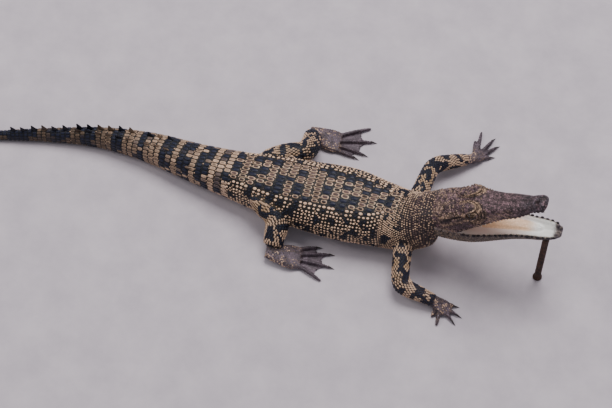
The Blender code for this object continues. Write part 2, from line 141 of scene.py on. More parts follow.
def welded(names):
    """One bmesh of a few nodes, with the loose triangles joined at their corners."""
    bm = bmesh.new()
    for name in names:
        bm.from_mesh(nodes[name].data)
    bmesh.ops.remove_doubles(bm, verts=bm.verts, dist=1e-6)
    bm.normal_update()
    return bm


def sharp_tips(bm, sharp):
    """The points of a bmesh where the angles of the faces round them add up to little."""
    return [v for v in bm.verts if sum(loop.calc_angle() for loop in v.link_loops) < sharp]


def drawn(bm, sharp):
    """Cut sharp tips off a copy of the solids, close the holes, and give the places they had."""
    tips = sharp_tips(bm, sharp)
    places = [v.co.copy() for v in tips]
    bmesh.ops.delete(bm, geom=tips, context="VERTS")
    bmesh.ops.holes_fill(bm, edges=[e for e in bm.edges if e.is_boundary], sides=0)
    bm.normal_update()
    return places


jaws = welded(["head", "lower_jaw"])
tooth_tips = drawn(jaws, TOOTH_SHARP)
print(len(tooth_tips), "teeth drawn,", len(jaws.faces), "faces left")

# %% [markdown]
# ## Wrapping solids in one surface
# The solids could be joined by Boolean unions, but those are slow on faceted solids that barely
# touch, and leave slivers. A voxel remesh doesn't care how its input was made: whatever is closed
# is filled, and one even surface comes out. Detail finer than a voxel is lost, so it comes later.

# %% From a bmesh to an object
def shown(name, data):
    """A new object in the scene for a mesh, a lamp or a camera."""
    obj = bpy.data.objects.new(name, data)
    bpy.context.scene.collection.objects.link(obj)
    return obj


def made(name, bm):
    """A new object in the scene from a bmesh, which is then let go."""
    mesh = bpy.data.meshes.new(name)
    bm.to_mesh(mesh)
    bm.free()
    return shown(name, mesh)


def baked(obj):
    """Replace an object's mesh by what its modifiers make of it."""
    shape = obj.evaluated_get(bpy.context.evaluated_depsgraph_get())
    mesh = bpy.data.meshes.new_from_object(shape)
    obj.modifiers.clear()
    old, obj.data = obj.data, mesh
    bpy.data.meshes.remove(old)
    return obj


# %% Swelling and wrapping
SWELL = 0.28 * MM               # enough to close the gaps between the solids


def wrapped(name, bm, voxel, rounds):
    """Swell the solids in a bmesh until they touch, and wrap them in one smooth surface."""
    bm.normal_update()
    for vert, place in [(v, v.co + v.normal * SWELL) for v in bm.verts]:
        vert.co = place
    obj = made(name, bm)
    wrap = obj.modifiers.new("wrap", "REMESH")
    wrap.mode, wrap.voxel_size = "VOXEL", voxel
    soft = obj.modifiers.new("soft", "SMOOTH")
    soft.factor, soft.iterations = 0.5, rounds
    return baked(obj)


def add(bm, other):
    """Copy one bmesh into another."""
    mesh = bpy.data.meshes.new("passing")
    other.to_mesh(mesh)
    bm.from_mesh(mesh)
    bpy.data.meshes.remove(mesh)


print("solids are swollen by", SWELL / MM, "mm before a wrap")

# %% [markdown]
# ## Eyelids
# A crocodile's lids are thick folds of hide round a slanting almond, through which a strip of the
# eye shows. They could be sculpted out of the wrapped skin, but there is too little of it there.
# So each pair of lids is a hollow ball over the eyeball, with the almond cut out of its outer
# side by a Boolean, and it joins the flesh before the wrap.

# %% Eyelids
LID_INSIDE, LID_OUTSIDE = 4.5 * MM, 5.5 * MM
SLIT = Vector((4.9, 3.0, 2.0)) * MM         # half length, depth and height of the eye's opening
SLIT_AT = Vector((0.4, 4.0, 2.1))           # mm ahead, out and up from the eyeball's middle
SLIT_TURN = 8                               # degrees the slit's front corner is lower


def ball(centre, radius, fineness):
    bm = bmesh.new()
    bmesh.ops.create_icosphere(bm, subdivisions=fineness, radius=radius)
    bmesh.ops.translate(bm, verts=bm.verts, vec=centre)
    return bm


def cut_away(obj, tool):
    cut = obj.modifiers.new("cut", "BOOLEAN")
    cut.operation, cut.solver, cut.object = "DIFFERENCE", "EXACT", tool
    baked(obj)
    bpy.data.objects.remove(tool)


def eyelids(side):
    """A round shell over the eyeball, with an almond cut out of its outer side."""
    centre = middle(f"eye_{side}")
    out = 1 if side == "left" else -1
    shell = made("lids_" + side, ball(centre, LID_OUTSIDE, 4))
    cut_away(shell, made("eye_hollow", ball(centre, LID_INSIDE, 4)))
    almond = bmesh.new()
    bmesh.ops.create_icosphere(almond, subdivisions=3, radius=1.0)
    bmesh.ops.scale(almond, verts=almond.verts, vec=SLIT)
    turn = HEAD_TURN @ Matrix.Rotation(radians(SLIT_TURN), 3, "Y")
    place = centre + HEAD_TURN @ Vector((SLIT_AT.x, out * SLIT_AT.y, SLIT_AT.z)) * MM
    bmesh.ops.transform(almond, verts=almond.verts,
                        matrix=Matrix.Translation(place) @ turn.to_4x4())
    cut_away(shell, made("eye_slit", almond))
    bm = bmesh.new()
    bm.from_mesh(shell.data)
    bpy.data.objects.remove(shell)
    return bm


lids = {side: eyelids(side) for side in ("left", "right")}
print("lids", {side: len(bm.faces) for side, bm in lids.items()}, "faces")

# %% [markdown]
# ## Courses through the flesh
# The trunk, neck and tail are one long tube, and so is each limb. A course is the centreline of
# such a tube, with the distance to its surface measured all round at every few millimetres.
# It serves twice. A fine round blank is lofted along it, without the flats of the plain solids,
# and later the rows of scales are counted along it, as they are on the animal. Scales could be
# strewn over the skin instead, but then they would lie in no rows.

# %% Arrays from meshes
def points_of(mesh):
    co = np.empty(len(mesh.vertices) * 3, np.float32)
    mesh.vertices.foreach_get("co", co)
    return co.reshape(-1, 3).astype(float)


def slices(points, along, count):
    """Middles of equal slices of a cloud of points, in order along a direction."""
    reach = points @ along
    limits = np.linspace(reach.min(), reach.max(), count + 1)
    parts = [points[(reach >= low) & (reach <= high)] for low, high in zip(limits, limits[1:])]
    return [(part.min(0) + part.max(0)) / 2 for part in parts if len(part)]


print("the trunk has", len(points_of(nodes["trunk"].data)), "points")


# %% Smoothing rows of numbers
def softened(values, rounds):
    """Running average along the first axis; the two ends keep their places."""
    values = np.array(values, float)
    for _ in range(rounds):
        inner = (values[:-2] + 2 * values[1:-1] + values[2:]) / 4
        values = np.concatenate([values[:1], inner, values[-1:]])
    return values


def rounded(rows, window):
    """Median and then average over neighbouring rays, all the way round."""
    turns = [np.roll(rows, k, axis=1) for k in range(-window, window + 1)]
    rows = np.median(turns, axis=0)
    return (np.roll(rows, 1, axis=1) + 2 * rows + np.roll(rows, -1, axis=1)) / 4


def unit(rows):
    return rows / np.linalg.norm(rows, axis=-1, keepdims=True)


print("a spike of 4 softens to", softened([0, 0, 4, 0, 0], 1))

# %% A course
RAYS = 64                       # directions in which the outline is measured
TAPER = 0.4                     # how much narrower the ends are that run on past the solids


class Course:
    """A centreline through a tube of flesh, with its outline at every place along it.

    It runs on past the first and last of the middles, by before and after."""

    def __init__(self, tree, middles, step, blur, before, after):
        middles = softened(middles, 3)
        start = middles[0] - unit(middles[1] - middles[0]) * before
        end = middles[-1] + unit(middles[-1] - middles[-2]) * after
        path = np.vstack([start, middles, end])
        travelled = np.concatenate([[0], np.cumsum(np.linalg.norm(np.diff(path, axis=0), axis=1))])
        self.length = travelled[-1]
        self.s = np.linspace(0, self.length, int(self.length / step) + 1)
        centre = np.stack([np.interp(self.s, travelled, path[:, k]) for k in range(3)], 1)
        self.centre = softened(centre, blur)
        self.ahead = unit(np.gradient(self.centre, axis=0))
        self.side = unit(np.cross(np.array([0, 0, 1.0]), self.ahead))
        self.up = np.cross(self.ahead, self.side)
        angles = np.arange(RAYS) * 2 * pi / RAYS
        self.turn = np.stack([np.cos(angles), np.sin(angles)])
        self.reach = self.measured(tree, before, after)
        past = np.maximum(self.s - (self.length - after), before - self.s).clip(0)
        self.reach *= (1 - TAPER * past / max(before, after, step))[:, None]
        self.measure_round()

    def measured(self, tree, before, after):
        """The distance to the surface in every direction, from every station."""
        inside = np.flatnonzero((self.s >= before) & (self.s <= self.length - after))
        rows = np.full((len(inside), RAYS), np.nan)
        for row, i in enumerate(inside):
            for k, spoke in enumerate(self.spokes(i)):
                hit = tree.ray_cast(Vector(self.centre[i]), Vector(spoke))
                if hit[0]:
                    rows[row, k] = hit[3] - SWELL
        rows = np.where(np.isnan(rows), np.nanmedian(rows, axis=1)[:, None], rows)
        rows = softened(rounded(rounded(rows, 3), 1), 2)
        nearest = np.clip(np.arange(len(self.s)) - inside[0], 0, len(inside) - 1)
        return rows[nearest]

    def measure_round(self):
        """The way round the outline, counted both ways from its top to its bottom."""
        rings = np.stack([self.ring(i) for i in range(len(self.s))])
        self.loops = np.concatenate([rings[:, RAYS // 2:], rings[:, :RAYS // 2 + 1]], axis=1)
        steps = np.linalg.norm(np.diff(self.loops, axis=1), axis=2)
        arc = np.concatenate([np.zeros((len(steps), 1)), np.cumsum(steps, axis=1)], axis=1)
        self.arc = arc - arc[:, RAYS // 2:RAYS // 2 + 1]
        self.half = (self.arc[:, -1] - self.arc[:, 0]) / 2

    def spokes(self, i):
        return self.turn[0][:, None] * self.up[i] + self.turn[1][:, None] * self.side[i]

    def ring(self, i):
        """Points of the outline at station i, the top first and then round by the left."""
        return self.centre[i] + self.reach[i][:, None] * self.spokes(i)

    def station(self, s):
        return int(round(min(max(s / self.length, 0), 1) * (len(self.s) - 1)))

    def at(self, s, v):
        """The point at s along the course and v round its outline from the top."""
        i = self.station(s)
        spot = [np.interp(v, self.arc[i], self.loops[i, :, k]) for k in range(3)]
        return np.array(spot) + self.ahead[i] * (s - self.s[i])

    def where(self, points):
        """How far along and how far round each point is, and half the way round there."""
        tree = KDTree(len(self.s))
        for i, centre in enumerate(self.centre):
            tree.insert(centre, i)
        tree.balance()
        near = np.array([tree.find(p)[1] for p in points])
        away = points - self.centre[near]
        s = self.s[near] + (away * self.ahead[near]).sum(1)
        angle = np.arctan2((away * self.side[near]).sum(1), (away * self.up[near]).sum(1))
        place = (angle / (2 * pi) + 0.5) * RAYS
        k = np.clip(place.astype(int), 0, RAYS - 1)
        v = self.arc[near, k] + (place - k) * (self.arc[near, k + 1] - self.arc[near, k])
        return s, v, self.half[near]


print("each outline has", RAYS, "points")


# %% A blank lofted along a course
def extruded(bm, edges):
    """Extrude a ring of edges where it is: the points and edges of the new ring."""
    new = bmesh.ops.extrude_edge_only(bm, edges=edges)["geom"]
    return ([g for g in new if isinstance(g, bmesh.types.BMVert)],
            [g for g in new if isinstance(g, bmesh.types.BMEdge)])


def blank(course):
    """A fine closed tube along a course: a ring of points, extruded and moved in turn."""
    bm = bmesh.new()
    ring = bmesh.ops.create_circle(bm, cap_ends=False, segments=RAYS, radius=1)["verts"]
    first = edges = bm.edges[:]
    for i in range(len(course.s)):
        if i:
            ring, edges = extruded(bm, edges)
        for vert, place in zip(ring, course.ring(i)):
            vert.co = place
    for rim in (first, edges):
        bmesh.ops.contextual_create(bm, geom=rim)
    bmesh.ops.recalc_face_normals(bm, faces=bm.faces)
    return bm


# %% Measuring a rough wrap
def tree_of(obj):
    bm = bmesh.new()
    bm.from_mesh(obj.data)
    tree = BVHTree.FromBMesh(bm)
    bm.free()
    return tree


def rough(name, names, voxel):
    """A closed wrap of a few solids, to be measured and thrown away: its tree and points."""
    obj = wrapped(name, welded(names), voxel, 1)
    tree, points = tree_of(obj), points_of(obj.data)
    bpy.data.objects.remove(obj)
    return tree, points


# %% The body's course, from the tail's tip to the back of the skull
BODY = sorted(n for n in FLESH if n.startswith(("tail_", "trunk", "neck")))
BODY_SLICES = 90
body_tree, body_points = rough("body_wrap", BODY, voxel=1.0 * MM)
body_middles = slices(body_points, np.array([1.0, 0, 0]), BODY_SLICES)
body = Course(body_tree, body_middles, step=2.0 * MM, blur=6, before=2.0 * MM, after=1.5 * MM)
print("body course", round(body.length, 4), "m")

# %% The limbs' courses, from inside the trunk to the wrist or ankle
BONE_SLICES = 4
LIMBS = {f"{kind}_{side}": [f"{upper}_{side}", f"{lower}_{side}", f"{end}_{side}"]
         for kind, upper, lower, end in (("arm", "upper_arm", "forearm", "hand"),
                                         ("leg", "thigh", "shank", "foot"))
         for side in ("left", "right")}


def axis_of(points, towards):
    """The long direction of a cloud of points, turned towards a place."""
    centred = points - points.mean(0)
    axis = np.linalg.svd(centred, full_matrices=False)[2][0]
    return axis if axis @ (towards - points.mean(0)) > 0 else -axis


def limb_course(name, parts):
    tree, _ = rough(name, parts, voxel=0.8 * MM)
    clouds = [points_of(nodes[part].data) for part in parts]
    middles = []
    for cloud, following in zip(clouds, clouds[1:]):
        middles += slices(cloud, axis_of(cloud, following.mean(0)), BONE_SLICES)
    return Course(tree, middles, step=1.2 * MM, blur=5, before=4.0 * MM, after=2.5 * MM)


limbs = {name: limb_course(name, parts) for name, parts in LIMBS.items()}
for name, course in limbs.items():
    print(name, "course", round(course.length, 4), "m")

# %% [markdown]
# ## Gathering the flesh
# What is wrapped is the head, hands and feet as they are, the round blanks of the tubes, and the
# tubes themselves, a little thinner, so that their flat sides don't show through. The crests of
# the tail are scales, so only the places of their tips are kept. Muscles fill the corners of the
# jaws, where a crocodile's largest muscles swell behind and below the eyes.

# %% Tips of the tail's crests
TUBES = BODY + [part for parts in LIMBS.values() for part in parts[:2]]
CREST_SHARP = 5.0               # radians round a crest's tip, at most
CREST_APART = 2.2 * MM
CRESTS_END = -20 * MM           # the crests stop behind the hips
tubes = welded(TUBES)
crest_tips = []
for tip in sorted((v.co.copy() for v in sharp_tips(tubes, CREST_SHARP)), key=lambda p: -p.z):
    if tip.x < CRESTS_END and all((tip - other).length > CREST_APART for other in crest_tips):
        crest_tips.append(tip)
tubes.free()
print(len(crest_tips), "crest tips")

# %% The flesh
SHRINK = 0.35 * MM              # how far the flat-sided tubes go in under their round blanks


def drawn_in(bm, depth):
    for vert, place in [(v, v.co - v.normal * depth) for v in bm.verts]:
        vert.co = place
    return bm


flesh = welded([n for n in FLESH if n not in TUBES and n not in ("head", "lower_jaw")])
add(flesh, jaws)
add(flesh, drawn_in(welded([n for n in TUBES if not n.startswith("tail_")]), SHRINK))
for course in [body, *limbs.values()]:
    add(flesh, blank(course))
for bm in lids.values():
    add(flesh, bm)
print("flesh of", len(flesh.faces), "faces")

# %% Muscles that fill the corner of the jaws, and the wrap
MUSCLES = [((-0.07, 0.115, -0.18), (0.13, 0.075, 0.13)),    # left and right cheek
           ((-0.07, -0.115, -0.18), (0.13, 0.075, 0.13)),   # place and half sizes, in head lengths
           ((-0.07, 0, -0.12), (0.13, 0.165, 0.11)),        # over the hinge
           ((-0.02, 0, -0.33), (0.15, 0.15, 0.09))]         # under the throat
VOXEL = 0.5 * MM
for place, size in MUSCLES:
    muscle = ball((0, 0, 0), 1.0, 3)
    bmesh.ops.scale(muscle, verts=muscle.verts, vec=Vector(size) * HEAD_LENGTH)
    bmesh.ops.transform(muscle, verts=muscle.verts,
                        matrix=Matrix.Translation(head_place(*place)) @ HEAD_TURN.to_4x4())
    add(flesh, muscle)

skin = wrapped("hide", flesh, VOXEL, rounds=3)
print("skin", len(skin.data.vertices), "points")

# %% [markdown]
# ## Drawing the skin in
# The scales need room inside the outline of the solids, so each point of the skin goes in by the
# depth of the scales that will cover it: deep on the trunk, almost nothing on the head, whose
# skin has hardly any scales but a fine cracked pebbling. One offset for the whole skin would be
# simpler, but it would drown the toes or leave the back's scutes standing too high. A skin this
# fine is quickest to change as arrays of points, which is what the helpers here are for.

# %% Reading and writing a mesh as arrays
def normals_of(mesh):
    no = np.empty(len(mesh.vertices) * 3, np.float32)
    mesh.vertices.foreach_get("normal", no)
    return no.reshape(-1, 3).astype(float)


def edges_of(mesh):
    ends = np.empty(len(mesh.edges) * 2, np.int32)
    mesh.edges.foreach_get("vertices", ends)
    return ends.reshape(-1, 2)


def move_to(mesh, points):
    mesh.vertices.foreach_set("co", points.astype(np.float32).ravel())
    mesh.update()


def eased(values, edges, rounds):
    """Average each value with its neighbours' a few times."""
    values = np.array(values, float)
    flat = values.reshape(len(values), -1)
    count = np.bincount(edges.ravel(), minlength=len(flat)).clip(1)
    for _ in range(rounds):
        for column in range(flat.shape[1]):
            here = flat[:, column]
            total = (np.bincount(edges[:, 0], here[edges[:, 1]], len(flat))
                     + np.bincount(edges[:, 1], here[edges[:, 0]], len(flat)))
            flat[:, column] = 0.5 * here + 0.5 * total / count
    return flat.reshape(values.shape)


def surface_of(names):
    """A search tree over some solids, and the solid that each of its faces belongs to."""
    bm, owner = bmesh.new(), []
    for number, name in enumerate(names):
        bm.from_mesh(nodes[name].data)
        owner += [number] * (len(bm.faces) - len(owner))
    tree = BVHTree.FromBMesh(bm)
    bm.free()
    return tree, owner


print("the skin's mesh has", len(edges_of(skin.data)), "edges")


# %% Soft steps and humps
def hump(distance, width):
    """1 at the middle of a line or spot and 0 well away from it."""
    return np.exp(-(distance / width)**2)


def gate(value, low, high):
    """0 below low, 1 above high, and smooth between."""
    t = np.clip((value - low) / (high - low), 0, 1)
    return t * t * (3 - 2 * t)


def between(value, low, high, soft=0.02):
    """1 from low to high and 0 outside, with soft ends."""
    return gate(value, low - soft, low + soft) * (1 - gate(value, high - soft, high + soft))


print("a hump one width out is", round(float(hump(1.0, 1.0)), 2), "high")

# %% Depth of the coat
COAT = {"trunk": 0.75, "tail": 0.7, "neck": 0.6, "upper_arm": 0.5, "thigh": 0.55, "forearm": 0.45,
        "shank": 0.5, "hand": 0.22, "foot": 0.22, "head": 0.05, "lower_jaw": 0.05, "tongue": 0.0}


def coat_depth(name):
    """How deep the scales of a solid are, from the start of its name."""
    return next(COAT[key] for key in COAT if name.startswith(key)) * MM


flesh_tree, flesh_owner = surface_of(FLESH)
skin_points, skin_edges = points_of(skin.data), edges_of(skin.data)
owners = np.array([flesh_owner[flesh_tree.find_nearest(p)[2]] for p in skin_points])
depth = np.array([coat_depth(name) for name in FLESH])[owners]
depth = eased(depth, skin_edges, 8)
skin_points = skin_points - normals_of(skin.data) * (SWELL + depth)[:, None]
print("drawn in by", round(depth.min() / MM, 2), "to", round(depth.max() / MM, 2), "mm")

# %% [markdown]
# ## Smoothing the joins
# Where two solids met, the wrap has a shallow groove or step that no animal has. Smoothing the
# whole skin would wash away the toes and lips. So a mask is made first, from 0 to 1: on the
# seams between solids, at the neck, the heels and wrists and the tips of the jaws. Each point
# then moves by its share of the mask towards its neighbours, over and over.

# %% Masks of what to smooth
seam = np.zeros(len(skin_points))
seam[skin_edges[owners[skin_edges[:, 0]] != owners[skin_edges[:, 1]]]] = 1
seam = np.clip(eased(seam, skin_edges, 14) * 4, 0, 1)
head_ahead, jaw_ahead = in_head(skin_points)[:, 0], in_jaw(skin_points)[:, 0]
near_neck = (1 - gate(np.abs(head_ahead + 0.03), 0.06, 0.13)) * gate(head_ahead + 1, 0.6, 0.7)
tip = np.maximum(gate(head_ahead, 0.955, 0.99) * (owners == FLESH.index("head")),
                 gate(jaw_ahead, 0.99, 1.03) * (owners == FLESH.index("lower_jaw")))
heel = np.zeros(len(skin_points))
for course in limbs.values():
    heel += 1 - gate(np.linalg.norm(skin_points - course.centre[-2], axis=1), 8 * MM, 12 * MM)
throat = body.ring(-2)[RAYS // 2]
under = np.hypot(skin_points[:, 0] - throat[0], skin_points[:, 2] - throat[2])
under = 1 - gate(under, 9 * MM, 16 * MM)
seam = np.clip(np.max([seam, near_neck, tip, heel], axis=0), 0, 1)
print("to be smoothed:", int((seam > 0.5).sum()), "points, and", int((under > 0.5).sum()),
      "under the throat")

# %% Smoothing under the masks
LEAST = 0.001                   # points with a smaller share are left out
for softness, rounds in ((seam, 60), (under, 160)):
    some = np.flatnonzero(softness > LEAST)
    touching = (softness > LEAST)[skin_edges].all(axis=1)
    local = np.full(len(skin_points), -1)
    local[some] = np.arange(len(some))
    near_edges, share = local[skin_edges[touching]], softness[some][:, None]
    patch = skin_points[some]
    before = patch.copy()
    for _ in range(rounds):
        patch += share * (eased(patch, near_edges, 1) - patch)
    skin_points[some] = patch
    print(rounds, "rounds moved a point by up to",
          round(np.linalg.norm(patch - before, axis=1).max() / MM, 2), "mm")
move_to(skin.data, skin_points)

# %% [markdown]
# ## Sculpting the head
# A crocodile's head has thin skin grown onto the skull, so its bone shows: an oval plate over
# each eye with folds round it, ridges before the eyes, a ledge over the slit of the ear, valved
# nostrils on a raised disc, and knobbly lips. By hand these would be brush strokes. Here each is
# a small push along the skin's own direction, as a plain function of the place in the head's
# frame, so that the same functions can later paint a highlight on each ridge and shade in each
# groove.

# %% Rings round the eyes and their plates
EYE_SIDE = 0.112                # eyeballs to each side, in head lengths
PLATE_AHEAD, PLATE_SIDE = EYE_AHEAD - 0.04, 0.092
PLATE_RIDGES, PLATE_GROOVES = (1.02, 1.31), (1.17, 1.45)    # in half sizes of the plate
LID_EDGE, LID_GROOVE = 1.05, 1.27                           # in half sizes of the slit
LID_FOLDS = (1.48, 1.90, 2.32)                              # the folds before the eye


def eye_rings(x, y, z):
    """1 on an oval round the eye on its own side, seen square on, and more outside it."""
    ahead, height = x - EYE_AHEAD, z - EYE_RISE
    out = (np.abs(y) - EYE_SIDE) / 0.075
    return np.sqrt((ahead / 0.062)**2 + (height / 0.040)**2 + np.minimum(out, 0)**2)


def plate_rings(x, y):
    """1 on the edge of the oval brow plate over each eye, seen from above."""
    return np.sqrt(((x - PLATE_AHEAD) / 0.105)**2 + ((np.abs(y) - PLATE_SIDE) / 0.056)**2)


def before_eye(x, z):
    """Nought behind a slanting line through the eye and 1 before it."""
    return gate(x - EYE_AHEAD + 0.6 * (EYE_RISE - z), -0.02, 0.05)


def over_ear(x, z):
    """Height above the slit of the ear, which slants a little."""
    return z + 0.052 + 0.10 * (0.25 - x)


def over_ledge(x, z):
    """Height above the ledge of skin over the ear."""
    return z + 0.022 + 0.08 * (0.25 - x)


print("brow plates at", PLATE_AHEAD, "ahead and", PLATE_SIDE, "to each side, in head lengths")


# %% The head's ridges and folds
def brow_and_lids(x, y, z, top, side):
    """Folds round the brow plates and the eyes, in millimetres."""
    plate, slit = plate_rings(x, y), eye_rings(x, y, z)
    (rim, second), (first_gap, last_gap) = PLATE_RIDGES, PLATE_GROOVES
    relief = top * (0.60 * hump(plate - rim, 0.08) - 0.75 * hump(plate - first_gap, 0.07)
                    + 0.50 * hump(plate - second, 0.07) - 0.55 * hump(plate - last_gap, 0.07))
    relief += side * (0.60 * hump(slit - LID_EDGE, 0.09) - 0.80 * hump(slit - LID_GROOVE, 0.09))
    front = before_eye(x, z)
    for ring in LID_FOLDS:
        relief += side * front * (0.45 * hump(slit - ring, 0.10)
                                  - 0.55 * hump(slit - ring - 0.2, 0.09))
    return relief


def head_relief(x, y, z, up):
    """Height of the head's relief above the plain skin, in millimetres."""
    top = gate(up, 0.2, 0.6)
    side = 1 - gate(np.abs(up), 0.55, 0.85)
    relief = brow_and_lids(x, y, z, top, side)
    ear = hump(over_ear(x, z), 0.013) * between(x, 0.06, 0.24, 0.03)
    relief -= 1.3 * ear * side
    ledge = hump(over_ledge(x, z), 0.014) * between(x, -0.02, 0.28, 0.03)
    relief += 0.5 * ledge * side
    ridge = hump(np.abs(y) - (0.085 - 0.06 * (x - 0.45)), 0.016) * between(x, 0.42, 0.68, 0.04)
    relief += 0.35 * ridge * top
    groove = hump(np.abs(y), 0.010) * between(x, 0.46, 0.84, 0.05)
    relief -= 0.22 * groove * top
    nose = hump(np.sqrt((x - 0.94)**2 + (y * 0.9)**2), 0.045)
    relief += 0.45 * nose * top
    crescent = np.sqrt((x - 0.925)**2 + ((np.abs(y) - 0.012) * 1.1)**2)
    relief -= 1.3 * hump(crescent - 0.018, 0.0065) * gate(np.abs(y), 0.010, 0.018) * top
    return relief


on_plate = head_relief(np.array([PLATE_AHEAD]), np.array([PLATE_SIDE]), np.zeros(1), np.ones(1))
print("the middle of a brow plate stands", round(float(on_plate[0]), 2), "mm proud")

# %% Lips
LIP_STEP = 0.034                # one lip scale to the next, in head lengths


def lip_relief(x, from_lip, out):
    """Knobbly lip scales: from_lip is the height above the tooth line, in head lengths."""
    band = between(from_lip, -0.006, 0.020, 0.006) * gate(np.abs(out), 0.35, 0.7)
    waves = 0.5 + 0.5 * np.cos(2 * pi * (x + 0.012 * np.sin(23 * x) + 0.35 * from_lip) / LIP_STEP)
    return band * (0.60 * waves - 0.10)


print("about", round(1 / LIP_STEP), "lip scales to a side")


# %% The jaws' edges, measured from the skin
EDGE_BINS = 32


def along_edge(points, low, high, which):
    """A function giving the lowest or highest rise of a cloud of points by how far forward."""
    bins = np.linspace(low, high, EDGE_BINS + 1)
    found = []
    for first, last in zip(bins, bins[1:]):
        part = points[(points[:, 0] >= first) & (points[:, 0] < last)]
        found.append(which(part[:, 2]) if len(part) else np.nan)
    found = np.array(found)
    centres = (bins[1:] + bins[:-1]) / 2
    good = ~np.isnan(found)
    return lambda x: np.interp(x, centres[good], found[good])


def outer(points, low, high):
    """Half-width of a cloud of points by how far forward."""
    sideways = points[:, [0, 1, 1]].copy()
    sideways[:, 2] = np.abs(sideways[:, 2])
    return along_edge(sideways, low, high, np.max)


normals = normals_of(skin.data)
on_head = owners == FLESH.index("head")
on_jaw = np.isin(owners, [FLESH.index("lower_jaw"), FLESH.index("tongue")])
head_local, head_facing = in_head(skin_points), normals @ np.array(HEAD_TURN)
jaw_local, jaw_facing = in_jaw(skin_points), normals @ np.array(JAW_TURN)
tooth_line = along_edge(head_local[on_head], 0.20, 0.99, np.min)
jaw_half = outer(jaw_local[on_jaw], 0.05, 1.04)
skull_half = outer(head_local[on_head], 0.05, 0.99)
jaw_rim = along_edge(jaw_local[on_jaw & (np.abs(jaw_local[:, 1]) > 0.03)], 0.10, 1.02, np.max)
print("half way along, the jaws are", round(float(2 * skull_half(0.5)), 3), "and",
      round(float(2 * jaw_half(0.5)), 3), "head lengths wide")

# %% Pushing the relief into the skin
relief = np.zeros(len(skin_points))
x, y, z = head_local.T
relief += np.where(on_head, head_relief(x, y, z, head_facing[:, 2]), 0)
relief += np.where(on_head & (x > 0.25), lip_relief(x, z - tooth_line(x), head_facing[:, 1]), 0)
jx, jy, jz = jaw_local.T
relief += np.where(on_jaw & (jx > 0.15), lip_relief(jx, jaw_rim(jx) - jz, jaw_facing[:, 1]), 0)
skin_points += normals * (relief * MM)[:, None]
move_to(skin.data, skin_points)
print("relief from", round(relief.min(), 2), "to", round(relief.max(), 2), "mm")

# %% [markdown]
# ## Thinning the skin
# The voxels give as many faces to the smooth belly as to the lips. Decimate takes faces away
# first where the surface is flat, so the detail stays, and the mesh is light enough to keep.

# %% Thinning the skin
SKIN_TRIANGLES = 190000
thin = skin.modifiers.new("thin", "DECIMATE")
thin.ratio = SKIN_TRIANGLES / (2 * len(skin.data.polygons))
baked(skin)
skin.data.shade_smooth()
print("skin thinned to", len(skin.data.polygons), "faces")

# %% [markdown]
# ## Markings
# The young animal is tan with blackish blocks: bars round the tail, broken blocks on the back,
# rounder blotches on the flanks and limbs. The blue in their black is a painted reflection of the
# sky. Skin and scales take their colour from the same functions of the place along and round the
# course, so the pattern runs on between them. A node texture could carry blotches too, but not
# blocks that end where a row of scutes ends.

# %% Colours
LIGHT = np.array([0.95, 0.64, 0.44])
CORE = np.array([0.050, 0.030, 0.026])
# near-black of the markings; its blue tint is a painted reflection of the sky
BLACK_AND_SKY_REFLECTION = np.array([0.012, 0.014, 0.030])
BETWEEN = np.array([0.010, 0.007, 0.005])
GOLD = np.array([0.40, 0.23, 0.055])
BELLY = np.array([0.66, 0.58, 0.44])
FOOT = np.array([0.085, 0.062, 0.078])
HEAD = np.array([0.112, 0.066, 0.074])
SNOUT = np.array([0.072, 0.056, 0.070])
PALE_LINE_AND_HIGHLIGHT = np.array([0.50, 0.33, 0.21])
LINING = np.array([0.76, 0.62, 0.55])
TONGUE = np.array([0.80, 0.52, 0.32])
GUM = np.array([0.86, 0.86, 0.82])
JAW_SIDE = np.array([0.17, 0.13, 0.105])
print("a tan scale is", round(float(LIGHT.sum() / BLACK_AND_SKY_REFLECTION.sum())), "times as light as a dark one")


# %% Mixing and noise
def mixed(one, other, share):
    """Rows of colours between two colours, or between rows and a colour."""
    share = np.asarray(share, float)[..., None]
    return one * (1 - share) + other * share


def clouds(points, size, shift=0.0):
    """Smooth noise about nought, with lumps about a size across, for rows of points."""
    return np.array([noise.noise(Vector(p) / size + Vector((shift, shift, shift))) for p in points])


def drawn_lots(row, column, number):
    """A number from nought to one for each cell of a grid, the same every time."""
    places = zip((row + 0.5).tolist(), (column + 0.5).tolist())
    return np.array([(noise.cell(Vector((a, b, number + 0.5))) + 1) / 2 for a, b in places])


print("four lots:", drawn_lots(np.zeros(4), np.arange(4), 1).round(2))

# %% Places along the body
TAIL_BARS = np.array([-290, -276, -261, -245, -229, -212, -195, -177, -151, -127, -103, -79.4,
                      -56.7, -39, -23, -6]) * MM
BAR_HALF, BAR_WIDER = 4.9 * MM, 4.2 * MM    # half a bar, and how much more near the tip
BACK_FROM, BACK_TO, BACK_ROWS = 4.0 * MM, 122.8 * MM, 17
COLUMN = 3.7 * MM               # the width of a scute on the back
row_places = np.linspace(BACK_FROM, BACK_TO, BACK_ROWS)
row_pitch = row_places[1] - row_places[0]
SHIELD = [(-300, 1.5), (-160, 3.0), (-100, 5.5), (-30, 10.0), (0, 12.5), (40, 17.0), (90, 16.5),
          (118, 13.5), (127, 9.0), (160, 8.0)]  # place and half width of the armour, in mm


def along_body(x):
    """How far along the body's course a place on its centreline is, from how far forward."""
    return np.interp(x, body.centre[:, 0], body.s)


def forward(s):
    """How far forward a place along the body's course is."""
    return np.interp(s, body.s, body.centre[:, 0])


def shield(x):
    """Half the width of the armoured back, measured round the outline."""
    places, widths = np.array(SHIELD).T * MM
    return np.interp(x, places, widths)


def belly(v, half):
    """1 on the underside, which is pale and unmarked."""
    return gate(np.abs(v) / half, 0.72, 0.80)


def near_head(x):
    """Nought on the body, rising to 1 where the neck runs into the head."""
    return gate(x, 143 * MM, 158 * MM)


def tail_shade(x):
    """How much of its light the tail keeps: less and less towards its tip."""
    return 1 - 0.40 * gate(-x, -0.01, 0.05) - 0.42 * gate(-x, 0.05, 0.15)


print("rows of scutes", round(row_pitch / MM, 2), "mm apart")

